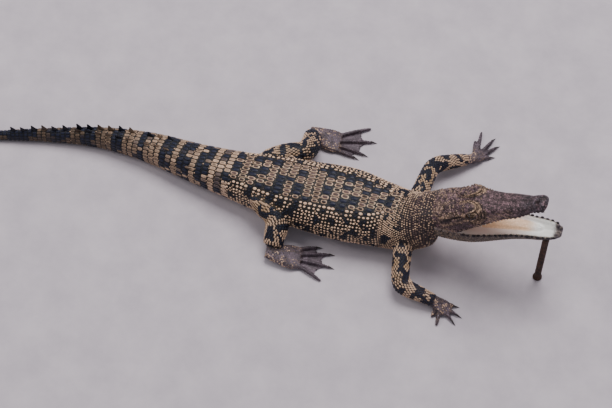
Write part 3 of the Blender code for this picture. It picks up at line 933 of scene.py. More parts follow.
# %% The pattern of the body
BLOTCH, NECK_BLOTCH = 6.2 * MM, 4.6 * MM
PAIR_SHARE, SINGLE_SHARE = 0.30, 0.10       # of two scutes together dark, and of one alone


def back_block(x, v):
    """1 on the dark scutes of the back, which a lot picks in pairs and singly."""
    row = np.round((x - BACK_FROM) / row_pitch)
    reach = shield(BACK_FROM + row * row_pitch)
    width = reach / np.round(reach / COLUMN)
    column = np.floor(v / width)
    pair = np.floor((column + row % 2) / 2)
    return np.maximum(drawn_lots(row, pair, 24) < PAIR_SHARE,
                      drawn_lots(row, column, 95) < SINGLE_SHARE) * 1.0


def tail_bar(x, unrolled):
    """1 on the bars of the tail, which waver and break up here and there."""
    wobble = 2.2 * MM * clouds(unrolled, 7 * MM, 1.7)
    nearest = np.min(np.abs((x + wobble)[:, None] - TAIL_BARS[None, :]), axis=1)
    wide = BAR_HALF + BAR_WIDER * gate(-x, 0.09, 0.17)
    bar = 1 - gate(nearest, wide - 0.7 * MM, wide + 0.7 * MM)
    return bar * gate(clouds(unrolled, 8 * MM, 9.9), -0.32, -0.22)


def body_dark(s, v, half):
    """How dark the body is at places given along and round its course: 0 tan, 1 blackish."""
    x = forward(s)
    unrolled = np.stack([s, v, 0 * s], 1)
    blotch = gate(clouds(unrolled, BLOTCH, 3.1), 0.17, 0.22)
    on_neck = gate(x, 124 * MM, 132 * MM)
    small = gate(clouds(unrolled, NECK_BLOTCH, 5.7), 0.14, 0.20)
    blotch = blotch * (1 - on_neck) + on_neck * small
    flank = gate(np.abs(v), shield(x) - 1 * MM, shield(x) + 1 * MM)
    trunk = back_block(x, v) * (1 - flank) + blotch * flank
    tail = gate(-x, -0.002, 0.012)
    dark = trunk * (1 - tail) * (1 - 0.6 * near_head(x)) + tail_bar(x, unrolled) * tail
    return dark * (1 - belly(v, half))


s = np.linspace(along_body(BACK_FROM), along_body(BACK_TO), 400)
share = body_dark(s, s * 0 + MM, s * 0 + 1).mean()
print("dark along the middle of the back:", round(float(share), 2))

# %% The pattern of the limbs
GOLD_AT = [middle(name) for name in ("upper_arm_left", "upper_arm_right",
                                     "thigh_left", "thigh_right")]


def golden(points):
    """Yellow where the limbs leave the body."""
    near = [np.linalg.norm(points - np.array(place), axis=1) for place in GOLD_AT]
    return 0.5 * hump(np.min(near, axis=0), 11 * MM) * gate(clouds(points, 5 * MM, 4.4), -0.15, 0.1)


def limb_dark(points):
    """1 on the blotches of the limbs."""
    return gate(clouds(points, 5.0 * MM, 12.5), 0.0, 0.05)


print("yellow at", [[round(c, 3) for c in place] for place in GOLD_AT])

# %% [markdown]
# ## Scales
# Bony scutes with a keel armour the back, small round beads cover the flanks and neck, square
# plates ring the tail and belly, and slanting rhombs cover the limbs. A bump in the material
# would be cheap, but a bump leaves the outline smooth and casts no shadow. Each kind is one small
# shape instead, shaped once by bmesh operators and repeated as one joined mesh. A scale is a
# shallow dome whose rim sinks in the skin, so no edge hangs in the air.

# %% Keeping a shape to repeat
def kept_shape(bm, level):
    """A shape as points, faces and, from a function of the vertex, the level of each point."""
    bm.verts.index_update()
    shape = (np.array([v.co for v in bm.verts]),
             [[v.index for v in face.verts] for face in bm.faces],
             np.array([level(v) for v in bm.verts]))
    bm.free()
    return shape


def cone_shape(sides, tip, cuts):
    """A closed cone one unit high on the unit circle, with its wall cut into rings."""
    bm = bmesh.new()
    bmesh.ops.create_cone(bm, cap_ends=True, segments=sides, radius1=1.0, radius2=tip, depth=1.0)
    wall = [e for e in bm.edges if abs(e.verts[0].co.z - e.verts[1].co.z) > 0.5]
    bmesh.ops.subdivide_edges(bm, edges=wall, cuts=cuts, use_grid_fill=True)
    return bm


# %% The shape of one scale
def scale_shape(levels, sides=10, square=2.0, ridge=1.0):
    """A dome on the unit circle. Levels are (inset, rise) steps from the sunk rim to the top;
    square makes it boxy, and ridge narrows the top level to a keel."""
    bm = bmesh.new()
    bmesh.ops.create_circle(bm, cap_ends=True, segments=sides, radius=1.0)
    bmesh.ops.translate(bm, verts=bm.verts, vec=(0, 0, -0.5))
    bmesh.ops.rotate(bm, verts=bm.verts, matrix=Matrix.Rotation(pi / sides, 3, "Z"))
    bm.faces.ensure_lookup_table()
    top = bm.faces[0]
    for inset, rise in levels:
        bmesh.ops.inset_individual(bm, faces=[top], thickness=inset, depth=rise)
    bmesh.ops.scale(bm, verts=top.verts, vec=(1, ridge, 1))
    for vert in bm.verts:
        angle = np.arctan2(vert.co.y, vert.co.x)
        corner = (abs(cos(angle))**square + abs(sin(angle))**square)**(-1 / square)
        vert.co.x, vert.co.y = vert.co.x * corner, vert.co.y * corner
    bmesh.ops.holes_fill(bm, edges=[e for e in bm.edges if e.is_boundary], sides=0)
    bmesh.ops.recalc_face_normals(bm, faces=bm.faces)
    return kept_shape(bm, lambda v: v.index // sides)


SCUTE = scale_shape([(0.08, 0.62), (0.16, 0.22), (0.16, 0.10), (0.18, 0.56)], 12, 3.2, 0.25)
BEAD = scale_shape([(0.10, 0.80), (0.25, 0.45), (0.30, 0.20)], 9, 2.0)
PLATE = scale_shape([(0.08, 0.80), (0.14, 0.40), (0.30, 0.16)], 12, 4.0)
RHOMB = scale_shape([(0.08, 0.70), (0.20, 0.40), (0.28, 0.25)], 8, 1.5)
for name, shape in (("scute", SCUTE), ("bead", BEAD), ("plate", PLATE), ("rhomb", RHOMB)):
    print(name, len(shape[1]), "faces")

# %% The skin as a surface to plant scales on
skin_points, skin_edges = points_of(skin.data), edges_of(skin.data)
owners = np.array([flesh_owner[flesh_tree.find_nearest(p)[2]] for p in skin_points])
skin_facing = unit(eased(normals_of(skin.data), skin_edges, 3))
skin_tree = tree_of(skin)
skin_corners = [tuple(face.vertices) for face in skin.data.polygons]


def owned_by(*starts):
    return {i for i, name in enumerate(FLESH) if name.startswith(starts)}


ON_BODY = owned_by("trunk", "tail_", "neck")
ON_LIMB = {name: owned_by(*parts[:2]) for name, parts in LIMBS.items()}
ON_FOOT = owned_by("hand_", "foot_")
LIMB_OWNERS = set().union(*ON_LIMB.values())
rng = np.random.default_rng(4)      # one seed, so that every run gives the same animal


def planted(point, allowed, reach=2.5 * MM):
    """The nearest place on the skin and its normal, if it is near and on the right solid."""
    spot, _, face, _ = skin_tree.find_nearest(Vector(point), reach)
    if spot is None:
        return None
    corners = skin_corners[face]
    if owners[corners[0]] not in allowed:
        return None
    facing = skin_facing[list(corners)].mean(0)
    return np.array(spot), facing / np.linalg.norm(facing)


print(sum(int((owners == i).sum()) for i in ON_BODY), "points of the skin are the body's")

# %% [markdown]
# ## A coat
# A scale could be an object of its own, or an instance on a point, but thousands of objects are
# slow and instances don't survive an export. A coat gathers the place, direction, size and
# colours of each scale and then makes one mesh of them all, with a colour at every point: the
# rim's low down, the core's on top and the dark of the skin at the sunk edge. Its UV map gives
# each scale a small patch of its own for textures.

# %% Colours and patches on a mesh
UNDER_RIM = [0.15, 0.75]            # how much of its colour a scale keeps at its lowest levels
CORE_SHARE = [0, 0, 0.4, 1, 1, 1]   # how much of the core's colour each level has
PATCH = 0.0015                      # half a scale's patch on the UV map


def paint(mesh, colours):
    """Store a colour for every point, as the attribute that the materials read."""
    layer = mesh.attributes.new("tint", "FLOAT_COLOR", "POINT")
    full = np.concatenate([colours, np.ones((len(colours), 1))], axis=1)
    layer.data.foreach_set("color", full.astype(np.float32).ravel())


def patch_at(s, v, half, course):
    """A place on the UV map from the place along and round a course."""
    return 0.02 + 0.96 * np.array([s / course.length, (v / half + 1) / 2])


def joined(name, points, faces, count):
    """A smooth mesh of many copies of one shape, from all their points, and each loop's point."""
    sizes = np.tile([len(face) for face in faces], count)
    each = points.shape[1]
    loops = (np.concatenate(faces)[None, :] + each * np.arange(count)[:, None]).ravel()
    mesh = bpy.data.meshes.new(name)
    mesh.vertices.add(count * each)
    mesh.vertices.foreach_set("co", points.astype(np.float32).ravel())
    mesh.loops.add(len(loops))
    mesh.loops.foreach_set("vertex_index", loops.astype(np.int32))
    mesh.polygons.add(len(sizes))
    starts = np.concatenate([[0], np.cumsum(sizes)[:-1]])
    mesh.polygons.foreach_set("loop_start", starts.astype(np.int32))
    mesh.update(calc_edges=True)
    mesh.shade_smooth()
    return mesh, loops


print("a patch is", 2 * PATCH, "wide")


# %% Gathering scales
class Coat:
    """Places, frames, sizes and colours of many scales of one shape."""

    def __init__(self, shape):
        self.shape, self.rows = shape, []

    def plant(self, found, ahead, size, rim, core, patch):
        """Add a scale: its root and normal, its long direction, and length, width and rise."""
        root, up = found
        along = ahead - up * (ahead @ up)
        along = along / np.linalg.norm(along)
        across = np.cross(up, along)
        frame = np.stack([along * size[0] / 2, across * size[1] / 2, up * size[2]])
        self.rows.append((root, frame, rim, core, patch))

    def make(self, name):
        """One object of all the scales, coloured, with its UV map."""
        points, faces, level = self.shape
        roots, frames, rims, cores, patches = (np.array(column) for column in zip(*self.rows))
        places = roots[:, None, :] + np.einsum("pk,nkc->npc", points, frames)
        core_share = np.array(CORE_SHARE)[level][None, :, None]
        tint = rims[:, None, :] * (1 - core_share) + cores[:, None, :] * core_share
        kept = np.array(UNDER_RIM + [1.0] * (level.max() - 1))[level][None, :, None]
        tint = tint * kept + BETWEEN * (1 - kept)
        mesh, loops = joined(name, places, faces, len(roots))
        bake = mesh.uv_layers.new(name="OFBake")
        spots = patches[:, None, :] + points[None, :, :2] * PATCH
        bake.data.foreach_set("uv", spots.reshape(-1, 2)[loops].astype(np.float32).ravel())
        paint(mesh, tint.reshape(-1, 3))
        triangles = len(roots) * sum(len(face) - 2 for face in faces)
        print(name, len(roots), "scales,", triangles, "triangles")
        return shown(name, mesh)


# %% [markdown]
# ## Planting the body's coat
# On the animal no two scales are quite the same, so each is planted in its row with a little
# chance in its size, place and tone. A tan scale has a dark middle on the back, some of the beads
# near the head are dull, and the tail loses its light towards the tip. Every root is kept, as
# the fine beads that come last fill only what room is left.

# %% Colours of one scale
CHANCE = 0.16                       # how much lighter or darker a scale may be than its kind


def varied(colour):
    """A colour, a little lighter or darker by chance."""
    return np.clip(colour * (1 + CHANCE * rng.uniform(-1, 1)), 0, 1)


def body_colours(s, v, half, x, root, core=LIGHT * 0.8):
    """The rim and the core of a scale on the body."""
    one = np.array([s]), np.array([v]), np.array([half])
    dark = body_dark(*one)[0]
    pale = belly(v, half)
    rim = mixed(mixed(LIGHT, BELLY, pale), GOLD, golden(root[None])[0] * (1 - pale))
    dull = (rng.uniform() < 0.5) * near_head(x) * (1 - pale)
    rim = mixed(rim, HEAD, 0.9 * dull)
    inner = mixed(mixed(core, HEAD, 0.9 * dull), BELLY, pale)
    kept = tail_shade(x)
    return varied(mixed(rim * kept, BLACK_AND_SKY_REFLECTION, dark)), varied(mixed(inner * kept, BLACK_AND_SKY_REFLECTION * 1.25, dark))


# %% Planting one scale
roots = []                          # every planted root, with how far its scale reaches


def plant_body(coat, s, v, size, core=LIGHT * 0.8):
    """Plant a scale at a place along and round the body; its size is in millimetres."""
    i = body.station(s)
    half = body.half[i]
    if abs(v) > half:
        return
    found = planted(body.at(s, v), ON_BODY)
    if found is None:
        return
    x = body.centre[i, 0]
    rim, inner = body_colours(s, v, half, x, found[0], core)
    coat.plant(found, body.ahead[i], np.array(size) * MM, rim, inner, patch_at(s, v, half, body))
    roots.append((found[0], max(size[:2]) / 2 * MM))


print("a scale's tone varies by", CHANCE, "either way")

# %% Scutes on the back
SCUTE_RISE = 0.62                   # mm
scutes = Coat(SCUTE)
for x in row_places:
    s, reach = along_body(x), shield(x)
    columns = 2 * round(reach / COLUMN)
    width = 2 * reach / columns
    for column in range(columns):
        v = (column + 0.5) * width - reach
        edge = column in (0, columns - 1)
        long = (0.70 if edge else 0.88) * row_pitch / MM * rng.uniform(0.96, 1.03)
        wide = 0.86 * width / MM * rng.uniform(0.93, 1.04)
        plant_body(scutes, s + rng.uniform(-0.2, 0.2) * MM, v, (long, wide, SCUTE_RISE),
                   CORE * rng.uniform(0.4, 2.6))
print(len(scutes.rows), "scutes on the back")

# %% Scutes on the nape
NAPE = [(132.5, 3.0, 5.6, 4.2), (132.5, 8.0, 5.2, 4.0),     # place forward and out, length and
        (138.5, 3.2, 5.4, 4.0), (138.0, 8.6, 4.6, 3.6),     # width, in millimetres
        (146.0, 2.4, 3.4, 3.0), (146.0, 6.4, 3.2, 2.8)]
for x, v, long, wide in NAPE:
    for side in (-1, 1):
        plant_body(scutes, along_body(x * MM), side * v * MM, (long, wide, 0.72), CORE)


def near_nape(x, v):
    """Whether a place is under one of the nape's scutes."""
    return any(abs(x / MM - place) < long * 0.62 and abs(abs(v) / MM - out) < wide * 0.66
               for place, out, long, wide in NAPE)


print(len(NAPE), "scutes to each side of the nape")

# %% Beads on the flanks
FLANK_PITCH, FLANK_COLUMNS = 2.85, 24           # mm from bead to bead, and rows down each side
FLANK_BEADS = [(3.2, 2.3), (2.5, 2.0)]          # length and width in the two rows by the scutes,
SMALL_BEAD = (1.85, 1.65)                       # and in all the others
FLANK_END = 0.755                               # where the belly starts, of half the way round
flanks = Coat(BEAD)
trunk_from, trunk_to = along_body(-2 * MM), along_body(128 * MM)
for side in (-1, 1):
    for column in range(FLANK_COLUMNS):
        large = column < len(FLANK_BEADS)
        pitch = row_pitch / 2 if large else FLANK_PITCH * MM
        long, wide = FLANK_BEADS[column] if large else SMALL_BEAD
        for s in np.arange(trunk_from, trunk_to, pitch):
            out = 2.0 + 3.1 * min(column, 2) + FLANK_PITCH * max(column - 2, 0)
            v = shield(forward(s)) + out * MM
            if v > body.half[body.station(s)] * FLANK_END:
                continue
            size = rng.uniform(0.78, 1.10)
            plant_body(flanks, s + rng.uniform(-0.35, 0.35) * MM,
                       side * (v + rng.uniform(-0.3, 0.3) * MM),
                       (long * size, wide * size, 0.55), LIGHT * 0.92)
print(len(flanks.rows), "beads on the flanks")

# %% Beads on the neck
NECK_PITCH = 1.95 * MM
NECK_END = 0.8                                  # where the throat starts
necks = Coat(BEAD)
for row, s in enumerate(np.arange(trunk_to, body.length, NECK_PITCH * 0.9)):
    half, x = body.half[body.station(s)], forward(s)
    count = int(2 * half * NECK_END / NECK_PITCH)
    for k in range(count):
        v = (k + 0.5 + 0.5 * (row % 2)) * NECK_PITCH - half * NECK_END
        if not near_nape(x, v):
            size = rng.uniform(0.85, 1.1)
            plant_body(necks, s, v + rng.uniform(-0.15, 0.15) * MM,
                       (1.45 * size, 1.25 * size, 0.48), LIGHT * rng.uniform(0.25, 0.9))
print(len(necks.rows), "beads on the neck")

# %% Plates of the belly, throat and under the tail
BELLY_PITCH, BELLY_WIDTH = 4.0 * MM, 3.7 * MM
bellies = Coat(PLATE)
for s in np.arange(along_body(-12 * MM), body.length, BELLY_PITCH):
    half = body.half[body.station(s)]
    count = max(int(half * 0.5 / BELLY_WIDTH), 2)
    width = half * 0.5 / count
    for k in range(count):
        v = half - (k + 0.5) * width
        if k >= count // 2:
            v = -(half - (k - count // 2 + 0.5) * width)
        plant_body(bellies, s, v, (3.75, width / MM * 0.93, 0.45), BELLY)
print(len(bellies.rows), "plates on the belly")

# %% Plates of the tail
PITCHES = [(-300, 2.9, 2.3), (-200, 3.3, 2.7), (-120, 4.6, 3.1),    # place, and one plate to the
           (-20, 5.9, 3.5), (10, 6.6, 3.7)]                         # next along and across, in mm
tails = Coat(PLATE)
places, alongs, acrosses = np.array(PITCHES).T
s = 0.6 * MM
while s < along_body(0.0):
    x = forward(s) / MM
    pitch, across = np.interp(x, places, alongs), np.interp(x, places, acrosses)
    half = body.half[body.station(s)]
    count = max(int(round(2 * half / MM / across)), 6)
    width = 2 * half / MM / count
    for k in range(count):
        v = ((k + 0.5) * width) * MM - half
        plant_body(tails, s, v, (pitch * 0.86, width * 0.82, 0.50), LIGHT * rng.uniform(0.30, 0.75))
    s += pitch * MM
print(len(tails.rows), "plates round the tail")

# %% [markdown]
# ## Crests of the tail
# Two rows of upright scales run down the tail and join in one, like a saw that leans back. Each
# is a cone, pressed flat and swept backwards, and reaches the tip that its solid has.

# %% The shape of a crest
SWEEP, SINK = 0.55, 0.12            # how far the tip leans back, and how deep the root is
bm = cone_shape(10, 0.16, 2)
for vert in bm.verts:
    height = vert.co.z + 0.5
    vert.co = Vector((vert.co.x - SWEEP * height**1.4, vert.co.y * (1 - 0.35 * height),
                      height - SINK))
CREST = kept_shape(bm, lambda v: 1 + int(v.co.z > 0.25) + int(v.co.z > 0.7))
print("a crest has", len(CREST[1]), "faces")

# %% Planting the crests
CREST_LENGTHS = [(-300, 5.0), (-120, 8.2), (-20, 6.5)]      # place and length, in millimetres
crests = Coat(CREST)
for tip in crest_tips:
    s, v, half = body.where(np.array([tip]))
    s, v, half = s[0], v[0], half[0]
    found = planted(body.at(s, v), ON_BODY)
    if found is None:
        continue
    root = found[0]
    i = body.station(s)
    up = np.array(tip) - root
    height = max(np.linalg.norm(up), 0.8 * MM)
    facing = unit(up + 0.5 * MM * found[1])
    x = forward(s)
    rim, inner = body_colours(s, v, half, x, root, LIGHT * 0.5)
    long = np.interp(x / MM, *zip(*CREST_LENGTHS))
    size = np.array([long * 0.95, 2.0, height / MM * 1.12]) * MM
    crests.plant((root, facing), body.ahead[i], size, rim * 0.45, inner * 0.35,
                 patch_at(s, v, half, body))
print("planted on the body", len(roots))

# %% [markdown]
# ## Colour of the skin
# The skin shows between the scales, on the head, in the mouth and on the webs. It is painted
# point by point: dark brown between scales, brown-purple on the head with pale lines round the
# brow plates and eyes, flesh-pink in the mouth with a peach tongue, and pale under the jaw. The
# pale line on each ridge round the plates and eyes is a painted highlight, and each groove beside
# it is painted shade. The mesh is fine enough to hold these edges, so it needs no texture and no
# seams of a UV map.

# %% The skin of the body and limbs
s_all, v_all, half_all = body.where(skin_points)
normals = normals_of(skin.data)
on_head = np.isin(owners, list(owned_by("head")))
on_jaw = np.isin(owners, list(owned_by("lower_jaw")))
on_tongue = np.isin(owners, list(owned_by("tongue")))
on_foot = np.isin(owners, list(ON_FOOT))
head_local, head_facing = in_head(skin_points), normals @ np.array(HEAD_TURN)
jaw_local, jaw_facing = in_jaw(skin_points), normals @ np.array(JAW_TURN)

dark = body_dark(s_all, v_all, half_all)
dark = np.where(np.isin(owners, list(LIMB_OWNERS)), limb_dark(skin_points), dark)
pale = np.where(np.isin(owners, list(ON_BODY)), belly(v_all, half_all), 0)
tint = mixed(mixed(BETWEEN, BLACK_AND_SKY_REFLECTION * 0.25, dark), HEAD * 0.3, 0.8 * near_head(forward(s_all)))
tint = mixed(tint, BELLY * 0.8, pale)
tint = mixed(tint, GOLD * 0.6, golden(skin_points) * 0.6 * (1 - dark))
print("dark share of the skin", round(float(dark.mean()), 2))

# %% The skin of the head, with cloudy patches
x, y, z = head_local.T
up = head_facing[:, 2]
head = mixed(np.tile(HEAD, (len(x), 1)), SNOUT, gate(x, 0.62, 0.92))
head = mixed(head, HEAD * 2.2, 0.6 * gate(clouds(skin_points, 2.6 * MM, 2.2), 0.05, 0.30))
head = mixed(head, HEAD * 0.35, 0.8 * gate(clouds(skin_points, 3.4 * MM, 5.2), 0.05, 0.30))
tan_patch = gate(clouds(skin_points, 4 * MM, 1.2), -0.1, 0.3)
head = mixed(head, LIGHT * 0.5, 0.35 * gate(-x, -0.20, 0.05) * tan_patch)
print("the head has", int(on_head.sum()), "points")

# %% Painted highlight on the head's ridges, pale stripes, and painted shade in each groove
top, side = gate(up, 0.2, 0.6), 1 - gate(np.abs(up), 0.65, 0.93)
plate, slit = plate_rings(x, y), eye_rings(x, y, z)
arc = gate(x - PLATE_AHEAD + 0.8 * (PLATE_SIDE - np.abs(y)), -0.06, 0.04)
(rim, second), (first_gap, last_gap) = PLATE_RIDGES, PLATE_GROOVES
# painted highlight: the rims round the brow plates, the edge of the lids, the folds before the eye
# and the ledge over the ear are painted pale, as where light catches a ridge
pale_lines_and_ridge_highlight = top * arc * (hump(plate - rim, 0.085) + 0.8 * hump(plate - second, 0.085))
front = before_eye(x, z)
pale_lines_and_ridge_highlight += side * (hump(slit - LID_EDGE, 0.11)
                 + front * sum(share * hump(slit - ring, 0.11)
                               for ring, share in zip(LID_FOLDS, (0.7, 0.6, 0.5))))
pale_lines_and_ridge_highlight += 1.2 * side * hump(over_ledge(x, z), 0.011) * between(x, -0.02, 0.26, 0.03)
# pale markings with no ridge under them: a stripe below the ear and slanting stripes on the cheek
pale_lines_and_ridge_highlight += side * hump(z + 0.088 + 0.14 * (0.25 - x), 0.010) * between(x, -0.02, 0.30, 0.03)
stripes = np.cos(2 * pi * (x + 1.2 * (z + 0.1)) / 0.055)
pale_lines_and_ridge_highlight += 0.8 * side * gate(stripes, 0.4, 0.9) * between(x, 0.28, 0.66, 0.05) * gate(-z, 0.06, 0.10)
pale_lines_and_ridge_highlight *= gate(clouds(skin_points, 2.0 * MM, 6.1), -0.5, -0.2)
# painted shade: each groove round the brow plates and lids, the opening of the eye and the slit of
# the ear are painted darker, as where shade falls
groove_shade = top * arc * 1.2 * (hump(plate - first_gap, 0.08) + 0.8 * hump(plate - last_gap, 0.08))
groove_shade += side * 1.2 * ((slit < 0.90) + hump(slit - LID_GROOVE, 0.11)
                         + front * (hump(slit - 1.69, 0.11) + 0.8 * hump(slit - 2.10, 0.11)))
groove_shade += 1.4 * side * hump(over_ear(x, z), 0.018) * between(x, 0.0, 0.25, 0.03)
# the painted shade goes in first, then the pale stripes and the painted highlight
head = mixed(head, HEAD * 0.22, np.clip(groove_shade, 0, 1))
head = mixed(head, PALE_LINE_AND_HIGHLIGHT, np.clip(pale_lines_and_ridge_highlight, 0, 1) * 0.9)
print("lines and grooves on", int(((pale_lines_and_ridge_highlight + groove_shade) * on_head > 0.5).sum()), "points")

# %% The palate
across = np.abs(y) / np.maximum(skull_half(x), 0.01)
palate = gate(-up, 0.35, 0.65) * between(across, -1, 0.86, 0.05)
head = mixed(head, LINING, palate * gate(x, 0.0, 0.1))
tint = np.where(on_head[:, None], head, tint)
print("the palate has", int((palate * on_head > 0.5).sum()), "points")

# %% The lower jaw, its mouth and the tongue
jx, jy, jz = jaw_local.T
rise = jaw_facing[:, 2]
jaw = mixed(np.tile(JAW_SIDE, (len(jx), 1)), BELLY, gate(-rise, 0.2, 0.7))
lip_patch = gate(clouds(skin_points, 3 * MM), -0.2, 0.1)
jaw = mixed(jaw, SNOUT, 0.8 * hump(jz - jaw_rim(jx) + 0.012, 0.016) * lip_patch)
outward = gate(np.abs(jaw_facing[:, 1]) + jaw_facing[:, 0], 0.2, 0.5)
jaw = mixed(jaw, SNOUT * 0.8, 0.9 * gate(jx, 0.90, 0.96) * outward)
within = gate(jaw_half(jx) - np.abs(jy), 0.012, 0.026)
inner = gate(rise, 0.15, 0.5) * within * (1 - gate(jx, 0.955, 0.985))
jaw = mixed(jaw, mixed(np.tile(LINING, (len(jx), 1)), GUM, gate(jx, 0.62, 0.85)), inner)
tint = np.where(on_jaw[:, None], jaw, tint)
tongue = mixed(np.tile(TONGUE, (len(jx), 1)), GUM, gate(jx, 0.72, 0.84))
tint = np.where(on_tongue[:, None], tongue, tint)
print("the mouth's floor has", int((inner * on_jaw > 0.5).sum()), "points")

# %% The feet, and the paint on the mesh
light_patch = gate(clouds(skin_points, 5 * MM, 8.8), -0.1, 0.3)
foot = mixed(np.tile(FOOT, (len(x), 1)), FOOT * 1.7, light_patch)
tint = np.where(on_foot[:, None], foot, tint)
tint = eased(tint, skin_edges, 1)
paint(skin.data, tint)
print("mean colour of the skin", tint.mean(0).round(3))

# %% Where the skin is pebbled, and where it is wet
PEBBLED_JAW, PEBBLED_TONGUE, PEBBLED_REST = 0.7, 0.12, 0.45


def stored(name, values):
    """Store a number for every point of the skin, for its material to read."""
    values = eased(values, skin_edges, 2)
    skin.data.attributes.new(name, "FLOAT", "POINT").data.foreach_set(
        "value", values.astype(np.float32))
    print(name, "on average", round(float(values.mean()), 3))
    return values


rest = np.where(on_tongue, PEBBLED_TONGUE, PEBBLED_REST)
stored("pebble", np.where(on_head, 1 - palate, np.where(on_jaw, PEBBLED_JAW * (1 - inner), rest)))
wet = stored("wet", np.where(on_head, palate, np.where(on_jaw, inner, on_tongue * 1.0)))

# %% [markdown]
# ## Scales of the limbs
# The scales of a limb are small slanting rhombs in rings, each ring half a scale round from the
# last, as roof tiles are. They could be strewn at random, but the slant of the rows is what makes
# a reptile's arm look like one, so they are counted along and round the limb's course.

# %% Scales of the limbs
LIMB_PITCH, LIMB_ROW = 2.6 * MM, 1.6 * MM
RHOMB_LONG, RHOMB_RISE = 2.3, 0.45      # length and rise of a scale in mm, the share of its
RHOMB_FILL, RHOMB_REACH = 0.64, 1.3     # place that it fills, and the room it keeps free in mm
arms, legs = Coat(RHOMB), Coat(RHOMB)
for number, (name, course) in enumerate(limbs.items()):
    coat = arms if name.startswith("arm") else legs
    before = len(coat.rows)
    for row, s in enumerate(np.arange(0.5 * MM, course.length, LIMB_ROW)):
        i = course.station(s)
        half = course.half[i]
        count = max(int(round(2 * half / LIMB_PITCH)), 8)
        width = 2 * half / count
        for k in range(count):
            v = (k + 0.5 * (row % 2)) * width - half
            found = planted(course.at(s, v), ON_LIMB[name])
            if found is None:
                continue
            dark = limb_dark(found[0][None])[0]
            pale = gate(-found[1][2], 0.35, 0.75)
            rim = mixed(mixed(LIGHT * 0.9, GOLD, golden(found[0][None])[0]), BELLY, pale)
            dark *= 1 - pale
            size = np.array([RHOMB_LONG, width / MM * RHOMB_FILL, RHOMB_RISE]) * MM
            coat.plant(found, course.ahead[i], size, varied(mixed(rim, BLACK_AND_SKY_REFLECTION, dark)),
                       varied(mixed(rim * 0.55, BLACK_AND_SKY_REFLECTION * 1.25, dark)),
                       patch_at(s / 4 + number * course.length / 4, v, half, course))
            roots.append((found[0], RHOMB_REACH * MM))
    print(name, len(coat.rows) - before, "scales")

# %% [markdown]
# ## Beads in the gaps, on the feet and on the cheeks
# Between the rows, in the folds where limbs meet the body, on the feet and behind the eyes the
# scales are too small and uneven for rows. Here the points of the skin are tried in a random
# order, and a bead is planted wherever the last ones leave it room. A particle system would do
# the same, but an export would drop it. The web between the hind toes stays bare.

# %% Room between scales
CLOSER = 0.92                   # of the room between two scales: they may overlap a little


class Crowd:
    """A grid of cells that remembers where scales stand, to keep new ones a step away."""

    def __init__(self, cell):
        self.cell, self.cells = cell, {}

    def key(self, point):
        return tuple(int(c // self.cell) for c in point)

    def stand(self, point, room):
        """Take up a place, with some room round it."""
        self.cells.setdefault(self.key(point), []).append((point, room))

    def free(self, point, room):
        """Whether nothing stands too close to a place."""
        i, j, k = self.key(point)
        for a in (i - 1, i, i + 1):
            for b in (j - 1, j, j + 1):
                for c in (k - 1, k, k + 1):
                    for other, taken in self.cells.get((a, b, c), ()):
                        if ((point - other)**2).sum() < ((room + taken) * CLOSER)**2:
                            return False
        return True


crowd = Crowd(4.5 * MM)
for point, room in roots:
    crowd.stand(point, room * 0.82)
print(len(roots), "scales stand already")

# %% Beads in the gaps between rows
FILL_ROOM, FILL_SIZE = 1.05 * MM, np.array([1.35, 1.2, 0.36]) * MM
fills, feet, cheeks = Coat(BEAD), Coat(BEAD), Coat(BEAD)


def fill(n, point, up, owner):
    """Plant a bead between the rows of the body or a limb."""
    if not crowd.free(point, FILL_ROOM):
        return
    if owner in ON_BODY:
        pale = belly(v_all[n], half_all[n])
        dark = body_dark(s_all[n:n + 1], v_all[n:n + 1], half_all[n:n + 1])[0]
    else:
        pale = gate(-up[2], 0.35, 0.75)
        dark = limb_dark(point[None])[0] * (1 - pale)
    rim = mixed(mixed(LIGHT * 0.6, GOLD, golden(point[None])[0]), BELLY, pale)
    fills.plant((point, up), body.ahead[body.station(s_all[n])], FILL_SIZE,
                varied(mixed(rim, BLACK_AND_SKY_REFLECTION, dark)), varied(mixed(rim * 0.8, BLACK_AND_SKY_REFLECTION, dark)),
                patch_at(s_all[n], v_all[n], half_all[n], body))
    crowd.stand(point, FILL_ROOM)


print("fill beads are", FILL_SIZE / MM, "mm")

# %% Beads on the cheeks and the back of the head
HEAD_BEADS = 0.42               # the head's beads fade out here, in head lengths
CHEEK_OWNERS = owned_by("head", "lower_jaw")
head_forward = np.array(HEAD_TURN @ Vector((1, 0, 0)))


def fill_cheek(n, point, up):
    """Plant a bead on the head, smaller and flatter the further forward it is."""
    share = gate(head_local[n, 0], -0.05, HEAD_BEADS)
    room = (0.80 - 0.30 * share) * MM
    if slit[n] < 1.35 or pale_lines_and_ridge_highlight[n] + groove_shade[n] > 0.3 or not crowd.free(point, room):
        return
    light = rng.uniform() < 0.42 - 0.12 * share
    rim = mixed(tint[n], LIGHT * 0.52, 0.75) if light else tint[n] * rng.uniform(0.25, 0.9)
    size = room * 2 / MM * 0.95
    spot = np.array([head_local[n, 0], np.sign(up[2]) * 0.4 + head_local[n, 1]])
    cheeks.plant((point, up), head_forward,
                 np.array([size, size * 0.92, 0.34 - 0.20 * share]) * MM,
                 rim, rim * 0.8, 0.5 + 0.45 * spot)
    crowd.stand(point, room)


print("head beads end", round(HEAD_BEADS * HEAD_LENGTH / MM), "mm from the back of the skull")

# %% Beads on the feet
FOOT_PITCH = 1.25 * MM
WEB = 1.5 * MM                  # flesh thinner than this is the web between the toes
TOES_FROM = {"hand": (8 * MM, 17 * MM), "foot": (15 * MM, 27 * MM)}     # tan turns to grey here


